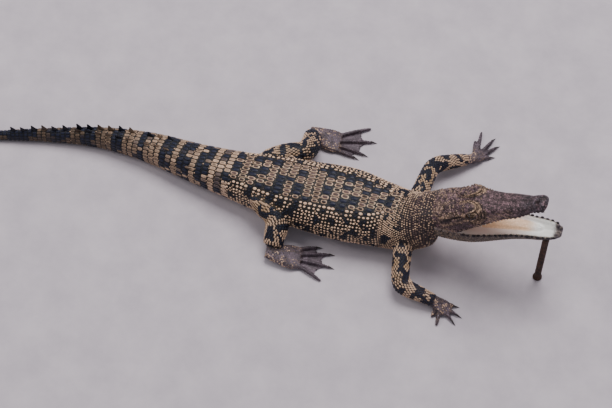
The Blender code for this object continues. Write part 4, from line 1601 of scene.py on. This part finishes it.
def fill_foot(point, up, owner):
    """Plant a bead on the upper side of a hand or foot, tan near the wrist, grey on the toes."""
    if not crowd.free(point, FOOT_PITCH / 2):
        return
    hit = skin_tree.ray_cast(Vector(point - up * 0.1 * MM), Vector(-up))
    if hit[0] is not None and hit[3] < WEB:
        return
    kind, side = FLESH[owner].split("_")
    wrist = limbs[("arm_" if kind == "hand" else "leg_") + side].centre[-1]
    ahead = unit(np.array(middle(FLESH[owner])) - wrist)
    light = 1 - gate((point - wrist) @ ahead, *TOES_FROM[kind])
    spots = 0.2 + 0.8 * gate(clouds(point[None], 1.9 * MM, 5.5)[0], -0.15, 0.1)
    rim = mixed(FOOT, LIGHT * 0.8, light * spots)
    rim = mixed(rim, BLACK_AND_SKY_REFLECTION, 0.8 * limb_dark(point[None])[0] * light)
    feet.plant((point, up), ahead, np.array([1.35, 1.15, 0.22]) * MM, varied(rim),
               varied(rim * 0.8),
               0.02 + 0.96 * np.array([(point[0] + 0.3) / 0.6, (point[1] + 0.15) / 0.3]))
    crowd.stand(point, FOOT_PITCH / 2)


print("foot beads are", FOOT_PITCH / MM, "mm apart")

# %% Trying every point of the skin
for n in rng.permutation(len(skin_points)):
    point, up, owner = skin_points[n], skin_facing[n], owners[n]
    if owner in ON_BODY or owner in LIMB_OWNERS:
        fill(n, point, up, owner)
    elif owner in CHEEK_OWNERS and head_local[n, 0] < HEAD_BEADS and wet[n] < 0.05:
        fill_cheek(n, point, up)
    elif owner in ON_FOOT and up[2] > 0.15:
        fill_foot(point, up, owner)
print("beads in gaps, on the head and on the feet:", len(fills.rows), len(cheeks.rows),
      len(feet.rows))

# %% Making the coats
coat_pieces = {
    "back_scutes": scutes, "flank_beads": flanks, "neck_beads": necks, "belly_plates": bellies,
    "tail_plates": tails, "tail_crests": crests, "arm_scales": arms, "leg_scales": legs,
    "fold_beads": fills, "foot_beads": feet, "cheek_beads": cheeks}
coats = [coat.make(name) for name, coat in coat_pieces.items()]

# %% [markdown]
# ## Teeth
# A young crocodile's teeth are thin curved spikes of uneven height. Each is a cone from the gum
# to the tip that the solids give it. Modelling them one by one would allow more character, but
# at under two millimetres wide it wouldn't show, so one shape is repeated at each tip's height.

# %% Teeth
TOOTH_LONG, TOOTH_THICK = 1.1 * MM, 1.0 * MM
LEAST_TOOTH = 0.2 * MM          # a tip nearer to the skin than this has no tooth
IVORY = np.array([0.80, 0.74, 0.60])
bm = cone_shape(8, 0.10, 3)
for vert in bm.verts:
    height = vert.co.z + 0.5
    swell = 1 + 0.25 * sin(pi * min(height * 1.3, 1))
    vert.co = Vector((vert.co.x * swell - 0.5 * height**2, vert.co.y * swell, height - 0.25))
teeth = Coat(kept_shape(bm, lambda v: 2 + int(v.co.z > 0.2)))
for tip in tooth_tips:
    spot = skin_tree.find_nearest(tip)[0]
    up = np.array(tip - spot)
    height = np.linalg.norm(up)
    if height >= LEAST_TOOTH:
        size = np.array([TOOTH_LONG, TOOTH_THICK, height * 1.05])
        teeth.plant((np.array(spot), up / height), head_forward, size, IVORY * 0.85, IVORY,
                    (0.5, 0.5))
tooth_row = teeth.make("teeth")
print(len(teeth.rows), "teeth")

# %% [markdown]
# ## Knobs along the lower jaw
# Larger dark scales stand in a row along the lower jaw's rim. They are the beads again, at equal
# steps along the rim as it was measured on the skin, so they follow it if the jaw changes.

# %% Knobs along the lower jaw's rim
KNOB_STEP = 0.046                           # in head lengths
KNOB_SIZE = np.array([2.9, 2.2, 0.85])      # mm
jaw_forward = np.array(JAW_TURN @ Vector((1, 0, 0)))
knobs = Coat(BEAD)
for side in (-1, 1):
    for x in np.arange(0.20, 1.00, KNOB_STEP):
        rim = Vector((x, side * (jaw_half(x) - 0.003), jaw_rim(x) - 0.004))
        place = JAW_ORIGIN + JAW_TURN @ rim * HEAD_LENGTH
        found = planted(np.array(place), owned_by("lower_jaw"), 4 * MM)
        if found:
            size = KNOB_SIZE * rng.uniform(0.8, 1.1) * MM
            knobs.plant(found, jaw_forward, size, varied(SNOUT * 0.4), varied(SNOUT * 0.55),
                        (0.1 + 0.8 * x, 0.5 + 0.3 * side))
coats.append(knobs.make("jaw_knobs"))
print(len(knobs.rows), "knobs")

# %% [markdown]
# ## Claws
# A claw is a dark horn cone, a little thicker above than at its sides. The solids give its tip
# and thickness. Its root starts inside the toe, so that no gap opens at the skin.

# %% The shape of a claw
bm = cone_shape(12, 0.06, 4)
for vert in bm.verts:
    height = vert.co.z + 0.5
    vert.co = Vector((vert.co.x * (1 + 0.3 * sin(pi * height)),
                      vert.co.y * (1 + 0.1 * sin(pi * height)), height))
claws = Coat(kept_shape(bm, lambda v: 2))
print("a claw has", len(claws.shape[1]), "faces")

# %% Planting the claws
CLAW_ROOT = 2.4 * MM            # how far a claw starts inside its toe
NEAR_END = 0.35                 # the share of a solid's points that counts as its root
HORN = np.array([0.03, 0.024, 0.026])
claw_names = sorted(n for n in nodes if n.startswith("claw_"))
for name in claw_names:
    cloud = points_of(nodes[name].data)
    limb = limbs[("arm_" if "hand" in name else "leg_") + name.split("_")[2]]
    far = np.linalg.norm(cloud - limb.centre[-1], axis=1)
    near = cloud[far <= np.quantile(far, NEAR_END)]
    tip, root = cloud[far.argmax()], near.mean(0)
    radius = np.linalg.norm(near - root, axis=1).max()
    along = unit(tip - root)
    length = np.linalg.norm(tip - root) + CLAW_ROOT
    up = np.cross(np.cross(along, np.array([0, 0, 1.0])), along)
    claws.plant((root - along * CLAW_ROOT, along), up,
                np.array([1.8 * radius, 1.6 * radius, length]), HORN, HORN, (0.5, 0.5))
claw_set = claws.make("claws")
print(len(claws.rows), "claws")

# %% [markdown]
# ## Eyeballs
# An eyeball is a smooth sphere under the lids. A pole of the sphere looks outwards, so that its
# rings of faces run round the pupil; a ball of triangles would be just as round, but less even.

# %% Eyeballs
EYEBALL = 4.2 * MM
eyeballs = []
for side in ("left", "right"):
    bm = bmesh.new()
    bmesh.ops.create_uvsphere(bm, u_segments=48, v_segments=32, radius=EYEBALL)
    bmesh.ops.rotate(bm, verts=bm.verts, matrix=Matrix.Rotation(radians(90), 3, "X"))
    bmesh.ops.transform(bm, verts=bm.verts,
                        matrix=Matrix.Translation(middle(f"eye_{side}")) @ HEAD_TURN.to_4x4())
    eyeball = made(f"eyeball_{side}", bm)
    eyeball.data.shade_smooth()
    eyeballs.append(eyeball)
print("eyeballs at", [[round(c, 4) for c in middle(f"eye_{side}")] for side in ("left", "right")])

# %% [markdown]
# ## The nail
# A rusty round nail stands on its head and props the jaw. A ring is extruded up its outline,
# which has a flat head and a slightly waisted neck, and noise then raises flakes of rust. A bump
# in the material would be lighter, but the flakes of a nail this rough show on its outline.

# %% Measuring the nail's two ends
def round_end(cloud, height):
    """The middle of a round end at a height, and its radius, from the points there."""
    low, high = cloud.min(0), cloud.max(0)
    return Vector(((low + high) / 2)[:2].tolist() + [height]), (high[0] - low[0]) / 2


cloud = points_of(nodes["stand_jaw_nail"].data)
nail_low, nail_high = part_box("stand_jaw_nail")
nail_foot, HEAD_RADIUS = round_end(cloud[cloud[:, 2] < nail_low.z + 1 * MM], nail_low.z)
nail_top, SHANK_RADIUS = round_end(cloud[cloud[:, 2] > nail_high.z - 3 * MM], nail_high.z)
nail_length = (nail_top - nail_foot).length
print("nail", round(nail_length / MM, 1), "mm, head", round(HEAD_RADIUS * 2 / MM, 1),
      "mm, shank", round(SHANK_RADIUS * 2 / MM, 1), "mm")

# %% Turning the nail
NAIL_PROFILE = [(0.0, HEAD_RADIUS * 0.86), (0.35, HEAD_RADIUS), (1.5, HEAD_RADIUS * 0.98),
                (2.0, HEAD_RADIUS * 0.80), (2.5, SHANK_RADIUS * 1.15), (3.4, SHANK_RADIUS * 0.96)]
shank = [(z, SHANK_RADIUS) for z in np.arange(4.4, nail_length / MM + 0.6, 1.0)]
bm = bmesh.new()
bmesh.ops.create_circle(bm, cap_ends=True, segments=28, radius=NAIL_PROFILE[0][1])
edges = bm.edges[:]
for height, radius in NAIL_PROFILE[1:] + shank:
    ring, edges = extruded(bm, edges)
    for vert in ring:
        flat = Vector((vert.co.x, vert.co.y, 0)).normalized() * radius
        vert.co = Vector((flat.x, flat.y, height * MM))
bmesh.ops.contextual_create(bm, geom=edges)
print("the nail is turned from", len(bm.faces), "faces")

# %% Flakes of rust, and the nail's lean
FLAKE = 0.16                    # mm, how far the flakes stand out
FLAKE_WIDE, FLAKE_FINE = 2.2 * MM, 0.9 * MM
for vert in bm.verts:
    out = Vector((vert.co.x, vert.co.y, 0))
    if out.length > 0.1 * MM:
        flake = noise.noise(vert.co / FLAKE_WIDE) + 0.5 * noise.noise(vert.co / FLAKE_FINE)
        vert.co += out.normalized() * flake * FLAKE * MM
lean = (nail_top - nail_foot).to_track_quat("Z", "Y").to_matrix().to_4x4()
bmesh.ops.transform(bm, verts=bm.verts, matrix=Matrix.Translation(nail_foot) @ lean)
bmesh.ops.recalc_face_normals(bm, faces=bm.faces)
nail = made("nail", bm)
nail.data.shade_smooth()
print("the nail leans", [round(c, 2) for c in (nail_top - nail_foot).normalized()])

# %% [markdown]
# ## Camera
# The animal is seen from above and from its right side, as by someone standing by it. The camera
# is placed by its direction, its distance and what it looks at, because those can be judged one
# at a time; a place and three angles would all change together.

# %% Camera
SEEN_FROM, SEEN_DOWN = 17.5, 58.0       # degrees round the animal and down at it
SEEN_AT, LENS, SENSOR = 1.325, 97.4, 36     # metres, and mm for the lens and the sensor
LOOK_AT = Vector((0.0586, -0.0170, 0.0))
view = Vector((-sin(radians(SEEN_FROM)) * cos(radians(SEEN_DOWN)),
               cos(radians(SEEN_FROM)) * cos(radians(SEEN_DOWN)), -sin(radians(SEEN_DOWN))))
camera = shown("camera", bpy.data.cameras.new("camera"))
camera.data.lens, camera.data.sensor_width = LENS, SENSOR
camera.location = LOOK_AT - view * SEEN_AT
camera.rotation_euler = view.to_track_quat("-Z", "Y").to_euler()
bpy.context.scene.camera = camera
print("camera at", [round(c, 3) for c in camera.location])

# %% [markdown]
# ## Floor and lights
# A plain pale floor stands for the concrete. The light is that of an open shade: one large soft
# lamp high up, a weaker one at the side and a pale surrounding. A sun would cast hard shadows.

# %% Floor and lights
FLOOR_HALF = 4                  # metres
SURROUNDING, SURROUNDING_POWER = (0.86, 0.88, 0.95, 1), 0.34
plane = bmesh.new()
bmesh.ops.create_grid(plane, x_segments=1, y_segments=1, size=FLOOR_HALF)
floor = made("floor", plane)


def lamp(name, place, size, power, colour):
    """A square lamp in metres and watts that shines at the origin."""
    light = bpy.data.lights.new(name, "AREA")
    light.size, light.energy, light.color = size, power, colour
    obj = shown(name, light)
    obj.location = place
    obj.rotation_euler = (-Vector(place)).to_track_quat("-Z", "Y").to_euler()


lamp("sky", (0.1, 0.9, 2.2), 1.3, 52, (1.0, 0.97, 0.97))
lamp("window", (-1.6, -0.4, 1.8), 1.0, 14, (1.0, 0.97, 0.93))
world = bpy.data.worlds.new("room")
bpy.context.scene.world = world
world.use_nodes = True
background = world.node_tree.nodes["Background"].inputs
background["Color"].default_value = SURROUNDING
background["Strength"].default_value = SURROUNDING_POWER
print(len(bpy.data.lights), "lamps")

# %% [markdown]
# ## Materials
# Each finish reads the painted colour and adds variation, a bump and a gloss. An effect that
# several finishes share is a node group with named inputs, placed in each with its own values.
# Image textures would need seams and would blur close up; these are computed at any place.

# %% Helpers for nodes
def finish(name, roughness=0.5):
    """A material with only its shader and output."""
    material = bpy.data.materials.new(name)
    material.use_nodes = True
    tree = material.node_tree
    shader = tree.nodes["Principled BSDF"]
    shader.inputs["Roughness"].default_value = roughness
    return material, tree, shader


def node(tree, kind, **settings):
    """A node with its settings; names with capitals are sockets."""
    new = tree.nodes.new("ShaderNode" + kind)
    for key, value in settings.items():
        if key[0].isupper():
            new.inputs[key.replace("_", " ")].default_value = value
        else:
            setattr(new, key, value)
    return new


def wire(tree, *pairs):
    """Join sockets in pairs, from an output to an input."""
    for source, target in pairs:
        tree.links.new(source, target)


# %% Helpers for shared effects
def effect(name, takes, gives):
    """A node group with named inputs, each with its default, and named outputs."""
    tree = bpy.data.node_groups.new(name, "ShaderNodeTree")
    for socket, value in takes.items():
        kind = "Float" if isinstance(value, float) else ("Color" if len(value) == 4 else "Vector")
        tree.interface.new_socket(name=socket, in_out="INPUT",
                                  socket_type="NodeSocket" + kind).default_value = value
    for socket in gives:
        kind = "Color" if socket == "Colour" else "Float"
        tree.interface.new_socket(name=socket, in_out="OUTPUT", socket_type="NodeSocket" + kind)
    print(name, "takes", list(takes), "and gives", list(gives))
    return tree, tree.nodes.new("NodeGroupInput").outputs, tree.nodes.new("NodeGroupOutput").inputs


def placed(tree, group, **values):
    """An effect in a material, with the material's own values."""
    new = tree.nodes.new("ShaderNodeGroup")
    new.node_tree = group
    for socket, value in values.items():
        new.inputs[socket].default_value = value
    return new


print("effects so far:", len(bpy.data.node_groups))

# %% [markdown]
# ## Hide
# Bare hide is covered with pebbles under a millimetre wide, each of its own tone, with dark
# cracks between them. Two cell patterns make them: one gives the cracks, the other the tones.
# They could be solid beads too, but there would be tens of thousands, finer than anyone sees.

# %% An effect: pebbled, speckled skin
MID_GREY = (0.5, 0.5, 0.5, 1)
pebbled, given, result = effect(
    "pebbled", {"Colour": MID_GREY, "Amount": 1.0, "Scale": 900.0, "Contrast": 0.6},
    ("Colour", "Height", "Roughness"))
place = node(pebbled, "TexCoord")
cells = node(pebbled, "TexVoronoi", feature="DISTANCE_TO_EDGE")
tones = node(pebbled, "TexVoronoi", feature="F1")
crack = node(pebbled, "MapRange", From_Min=0.0, From_Max=0.20)
shade = node(pebbled, "MapRange", From_Min=0.0, From_Max=1.0, To_Min=0.30, To_Max=2.4)
weight = node(pebbled, "Math", operation="MULTIPLY")
darken = node(pebbled, "MapRange", To_Min=0.18, To_Max=1.0)
both = node(pebbled, "Math", operation="MULTIPLY")
toned = node(pebbled, "Mix", data_type="RGBA", blend_type="MULTIPLY")
height = node(pebbled, "Math", operation="MULTIPLY")
rough = node(pebbled, "MapRange", To_Min=0.62, To_Max=0.42)
separate = node(pebbled, "SeparateColor")
for texture in (cells, tones):
    wire(pebbled, (place.outputs["Object"], texture.inputs["Vector"]),
         (given["Scale"], texture.inputs["Scale"]))
wire(pebbled, (cells.outputs["Distance"], crack.inputs["Value"]),
     (tones.outputs["Color"], separate.inputs["Color"]),
     (separate.outputs["Red"], shade.inputs["Value"]),
     (crack.outputs["Result"], darken.inputs["Value"]),
     (darken.outputs["Result"], both.inputs[0]), (shade.outputs["Result"], both.inputs[1]),
     (given["Amount"], weight.inputs[0]), (given["Contrast"], weight.inputs[1]),
     (weight.outputs["Value"], toned.inputs["Factor"]),
     (given["Colour"], toned.inputs["A"]), (both.outputs["Value"], toned.inputs["B"]),
     (crack.outputs["Result"], height.inputs[0]), (given["Amount"], height.inputs[1]),
     (crack.outputs["Result"], rough.inputs["Value"]),
     (toned.outputs["Result"], result["Colour"]), (height.outputs["Value"], result["Height"]),
     (rough.outputs["Result"], result["Roughness"]))

# %% Hide
hide, tree, shader = finish("hide", 0.5)
shader.inputs["Specular IOR Level"].default_value = 0.38
tint_in = node(tree, "Attribute", attribute_name="tint")
amount_in = node(tree, "Attribute", attribute_name="pebble")
wet_in = node(tree, "Attribute", attribute_name="wet")
speckled = placed(tree, pebbled, Scale=820.0, Contrast=0.95)
bump = node(tree, "Bump", Strength=0.55, Distance=0.0004)
gloss = node(tree, "MapRange", To_Min=1.0, To_Max=0.45)
roughness = node(tree, "Math", operation="MULTIPLY")
wire(tree, (tint_in.outputs["Color"], speckled.inputs["Colour"]),
     (amount_in.outputs["Fac"], speckled.inputs["Amount"]),
     (speckled.outputs["Colour"], shader.inputs["Base Color"]),
     (speckled.outputs["Height"], bump.inputs["Height"]),
     (bump.outputs["Normal"], shader.inputs["Normal"]),
     (wet_in.outputs["Fac"], gloss.inputs["Value"]), (gloss.outputs["Result"], roughness.inputs[0]),
     (speckled.outputs["Roughness"], roughness.inputs[1]),
     (roughness.outputs["Value"], shader.inputs["Roughness"]))
print("hide has", len(tree.nodes), "nodes")

# %% [markdown]
# ## Scales and teeth
# Scales and teeth are worn unevenly: streaks run over them, lighter and darker than the painted
# colour. One effect streaks both, wider on scales and finer on teeth. On scales the same noise
# varies the gloss, and a finer one is their grain.

# %% An effect: streaks of wear
streaked, given, result = effect(
    "streaked", {"Colour": MID_GREY, "Scale": 420.0, "Low": 0.0, "High": 1.0, "Darkest": 0.7,
                 "Lightest": 1.2}, ("Colour", "Streak"))
place = node(streaked, "TexCoord")
streak = node(streaked, "TexNoise", Detail=3.0)
vary = node(streaked, "MapRange")
worn = node(streaked, "Mix", data_type="RGBA", blend_type="MULTIPLY", Factor=1.0)
wire(streaked, (place.outputs["Object"], streak.inputs["Vector"]),
     (given["Scale"], streak.inputs["Scale"]), (streak.outputs["Fac"], vary.inputs["Value"]),
     (given["Low"], vary.inputs["From Min"]), (given["High"], vary.inputs["From Max"]),
     (given["Darkest"], vary.inputs["To Min"]), (given["Lightest"], vary.inputs["To Max"]),
     (given["Colour"], worn.inputs["A"]), (vary.outputs["Result"], worn.inputs["B"]),
     (worn.outputs["Result"], result["Colour"]), (streak.outputs["Fac"], result["Streak"]))

# %% Scales
scaly, tree, shader = finish("scales", 0.4)
shader.inputs["Specular IOR Level"].default_value = 0.24
tint_in = node(tree, "Attribute", attribute_name="tint")
wear = placed(tree, streaked, Scale=420.0, Low=0.3, High=0.7, Darkest=0.72, Lightest=1.25)
place = node(tree, "TexCoord")
fine = node(tree, "TexNoise", Scale=2200.0, Detail=4.0, Roughness=0.6)
bump = node(tree, "Bump", Strength=0.35, Distance=0.00025)
rough = node(tree, "MapRange", From_Min=0.3, From_Max=0.7, To_Min=0.30, To_Max=0.52)
wire(tree, (tint_in.outputs["Color"], wear.inputs["Colour"]),
     (wear.outputs["Colour"], shader.inputs["Base Color"]),
     (place.outputs["Object"], fine.inputs["Vector"]), (fine.outputs["Fac"], bump.inputs["Height"]),
     (bump.outputs["Normal"], shader.inputs["Normal"]),
     (wear.outputs["Streak"], rough.inputs["Value"]),
     (rough.outputs["Result"], shader.inputs["Roughness"]))
print("scales have", len(tree.nodes), "nodes")

# %% Teeth
ivory, tree, shader = finish("ivory", 0.28)
tint_in = node(tree, "Attribute", attribute_name="tint")
stain = placed(tree, streaked, Scale=700.0, Darkest=0.75, Lightest=1.1)
wire(tree, (tint_in.outputs["Color"], stain.inputs["Colour"]),
     (stain.outputs["Colour"], shader.inputs["Base Color"]))
print("ivory has", len(tree.nodes), "nodes")

# %% [markdown]
# ## Eyes
# The eye is gold-brown with an upright slit and a wet coat. The slit is the set of places close
# to the head's upright plane through the eyeball's middle, so it stands right on each side.

# %% An effect: an iris with an upright slit
IRIS, PUPIL = (0.085, 0.048, 0.014, 1), (0.002, 0.002, 0.002, 1)
PUPIL_HALF = 0.55 * MM
slit_eye, given, result = effect("slit_eye", {"Middle": (0.0, 0.0, 0.0)}, ("Colour",))
place = node(slit_eye, "TexCoord")
shift = node(slit_eye, "VectorMath", operation="SUBTRACT")
turn = node(slit_eye, "VectorRotate", rotation_type="EULER_XYZ", invert=True)
turn.inputs["Rotation"].default_value = HEAD_TURN.to_euler()
split = node(slit_eye, "SeparateXYZ")
across = node(slit_eye, "Math", operation="ABSOLUTE")
pupil = node(slit_eye, "MapRange", From_Min=PUPIL_HALF * 0.8, From_Max=PUPIL_HALF * 1.2)
ray = node(slit_eye, "TexNoise", Scale=900.0, Detail=4.0)
shade = node(slit_eye, "ValToRGB")
for stop, share in zip(shade.color_ramp.elements, (0.4, 1.6)):
    stop.color = (IRIS[0] * share, IRIS[1] * share, IRIS[2] * share, 1)
mix = node(slit_eye, "Mix", data_type="RGBA", A=PUPIL)
wire(slit_eye, (place.outputs["Object"], shift.inputs[0]), (given["Middle"], shift.inputs[1]),
     (shift.outputs["Vector"], turn.inputs["Vector"]),
     (turn.outputs["Vector"], split.inputs["Vector"]),
     (split.outputs["X"], across.inputs[0]), (across.outputs["Value"], pupil.inputs["Value"]),
     (pupil.outputs["Result"], mix.inputs["Factor"]),
     (place.outputs["Object"], ray.inputs["Vector"]),
     (ray.outputs["Fac"], shade.inputs["Fac"]), (shade.outputs["Color"], mix.inputs["B"]),
     (mix.outputs["Result"], result["Colour"]))


# %% Eyes
def eye_finish(side):
    """The wet eye of one side, with its slit through that eyeball's middle."""
    material, tree, shader = finish("eye_" + side, 0.08)
    shader.inputs["Coat Weight"].default_value = 0.3
    shader.inputs["Coat Roughness"].default_value = 0.03
    iris = placed(tree, slit_eye, Middle=middle("eye_" + side))
    wire(tree, (iris.outputs["Colour"], shader.inputs["Base Color"]))
    return material


eye_finishes = [eye_finish(side) for side in ("left", "right")]
print("eye finishes", [material.name for material in eye_finishes])

# %% [markdown]
# ## Horn, rust and the floor
# Claws, rust and concrete have little in common but this: two tones break into one another in
# clouds, and the surface rises and falls with them. One effect mottles all three.

# %% An effect: two tones in clouds
mottled, given, result = effect(
    "mottled", {"Dark": MID_GREY, "Light": MID_GREY, "Scale": 400.0}, ("Colour", "Height"))
place = node(mottled, "TexCoord")
coarse = node(mottled, "TexNoise", Detail=6.0, Roughness=0.65)
step = node(mottled, "MapRange", From_Min=0.36, From_Max=0.66)
mix = node(mottled, "Mix", data_type="RGBA")
wire(mottled, (place.outputs["Object"], coarse.inputs["Vector"]),
     (given["Scale"], coarse.inputs["Scale"]), (coarse.outputs["Fac"], step.inputs["Value"]),
     (step.outputs["Result"], mix.inputs["Factor"]), (given["Dark"], mix.inputs["A"]),
     (given["Light"], mix.inputs["B"]), (mix.outputs["Result"], result["Colour"]),
     (coarse.outputs["Fac"], result["Height"]))


# %% Horn, rust and the floor
def cloudy(name, dark, light, scale, roughness, bumpy):
    """A mottled finish that the same clouds raise as a bump."""
    material, tree, shader = finish(name, roughness)
    tones = placed(tree, mottled, Dark=(*dark, 1), Light=(*light, 1), Scale=scale)
    bump = node(tree, "Bump", Strength=bumpy, Distance=0.0005)
    wire(tree, (tones.outputs["Colour"], shader.inputs["Base Color"]),
         (tones.outputs["Height"], bump.inputs["Height"]),
         (bump.outputs["Normal"], shader.inputs["Normal"]))
    return material


horn = cloudy("horn", (0.012, 0.010, 0.012), (0.06, 0.045, 0.045), 500.0, 0.32, 0.2)
rust = cloudy("rust", (0.013, 0.007, 0.006), (0.090, 0.036, 0.022), 420.0, 0.82, 0.9)
concrete = cloudy("pale_floor", (0.53, 0.475, 0.53), (0.62, 0.56, 0.61), 30.0, 0.85, 0.05)
print(len(bpy.data.materials), "finishes,", len(bpy.data.node_groups), "shared effects")

# %% [markdown]
# ## Giving each piece its finish
# Every piece rides on the body, since nothing moves. The skin stands for all solids of flesh at
# once, and the scales lie over it; eyes, claws and nail stand for their own solids.

# %% Giving each piece its finish
def dress(obj, material):
    obj.data.materials.clear()
    obj.data.materials.append(material)


dress(skin, hide)
for coat in coats:
    dress(coat, scaly)
dress(tooth_row, ivory)
dress(floor, concrete)
for side, eyeball, material in zip(("left", "right"), eyeballs, eye_finishes):
    dress(eyeball, material)
    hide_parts(f"eye_{side}")
dress(claw_set, horn)
dress(nail, rust)
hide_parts(*claw_names)
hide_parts("stand_jaw_nail")
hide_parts(*FLESH)
pieces = [(skin, "hide"), (tooth_row, "tooth"), (claw_set, "claw"), (nail, "rust"),
          *((coat, "hide") for coat in coats), *((eyeball, "eye") for eyeball in eyeballs)]
for piece, slot in pieces:
    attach(piece, "root")
print(len(pieces), "pieces")
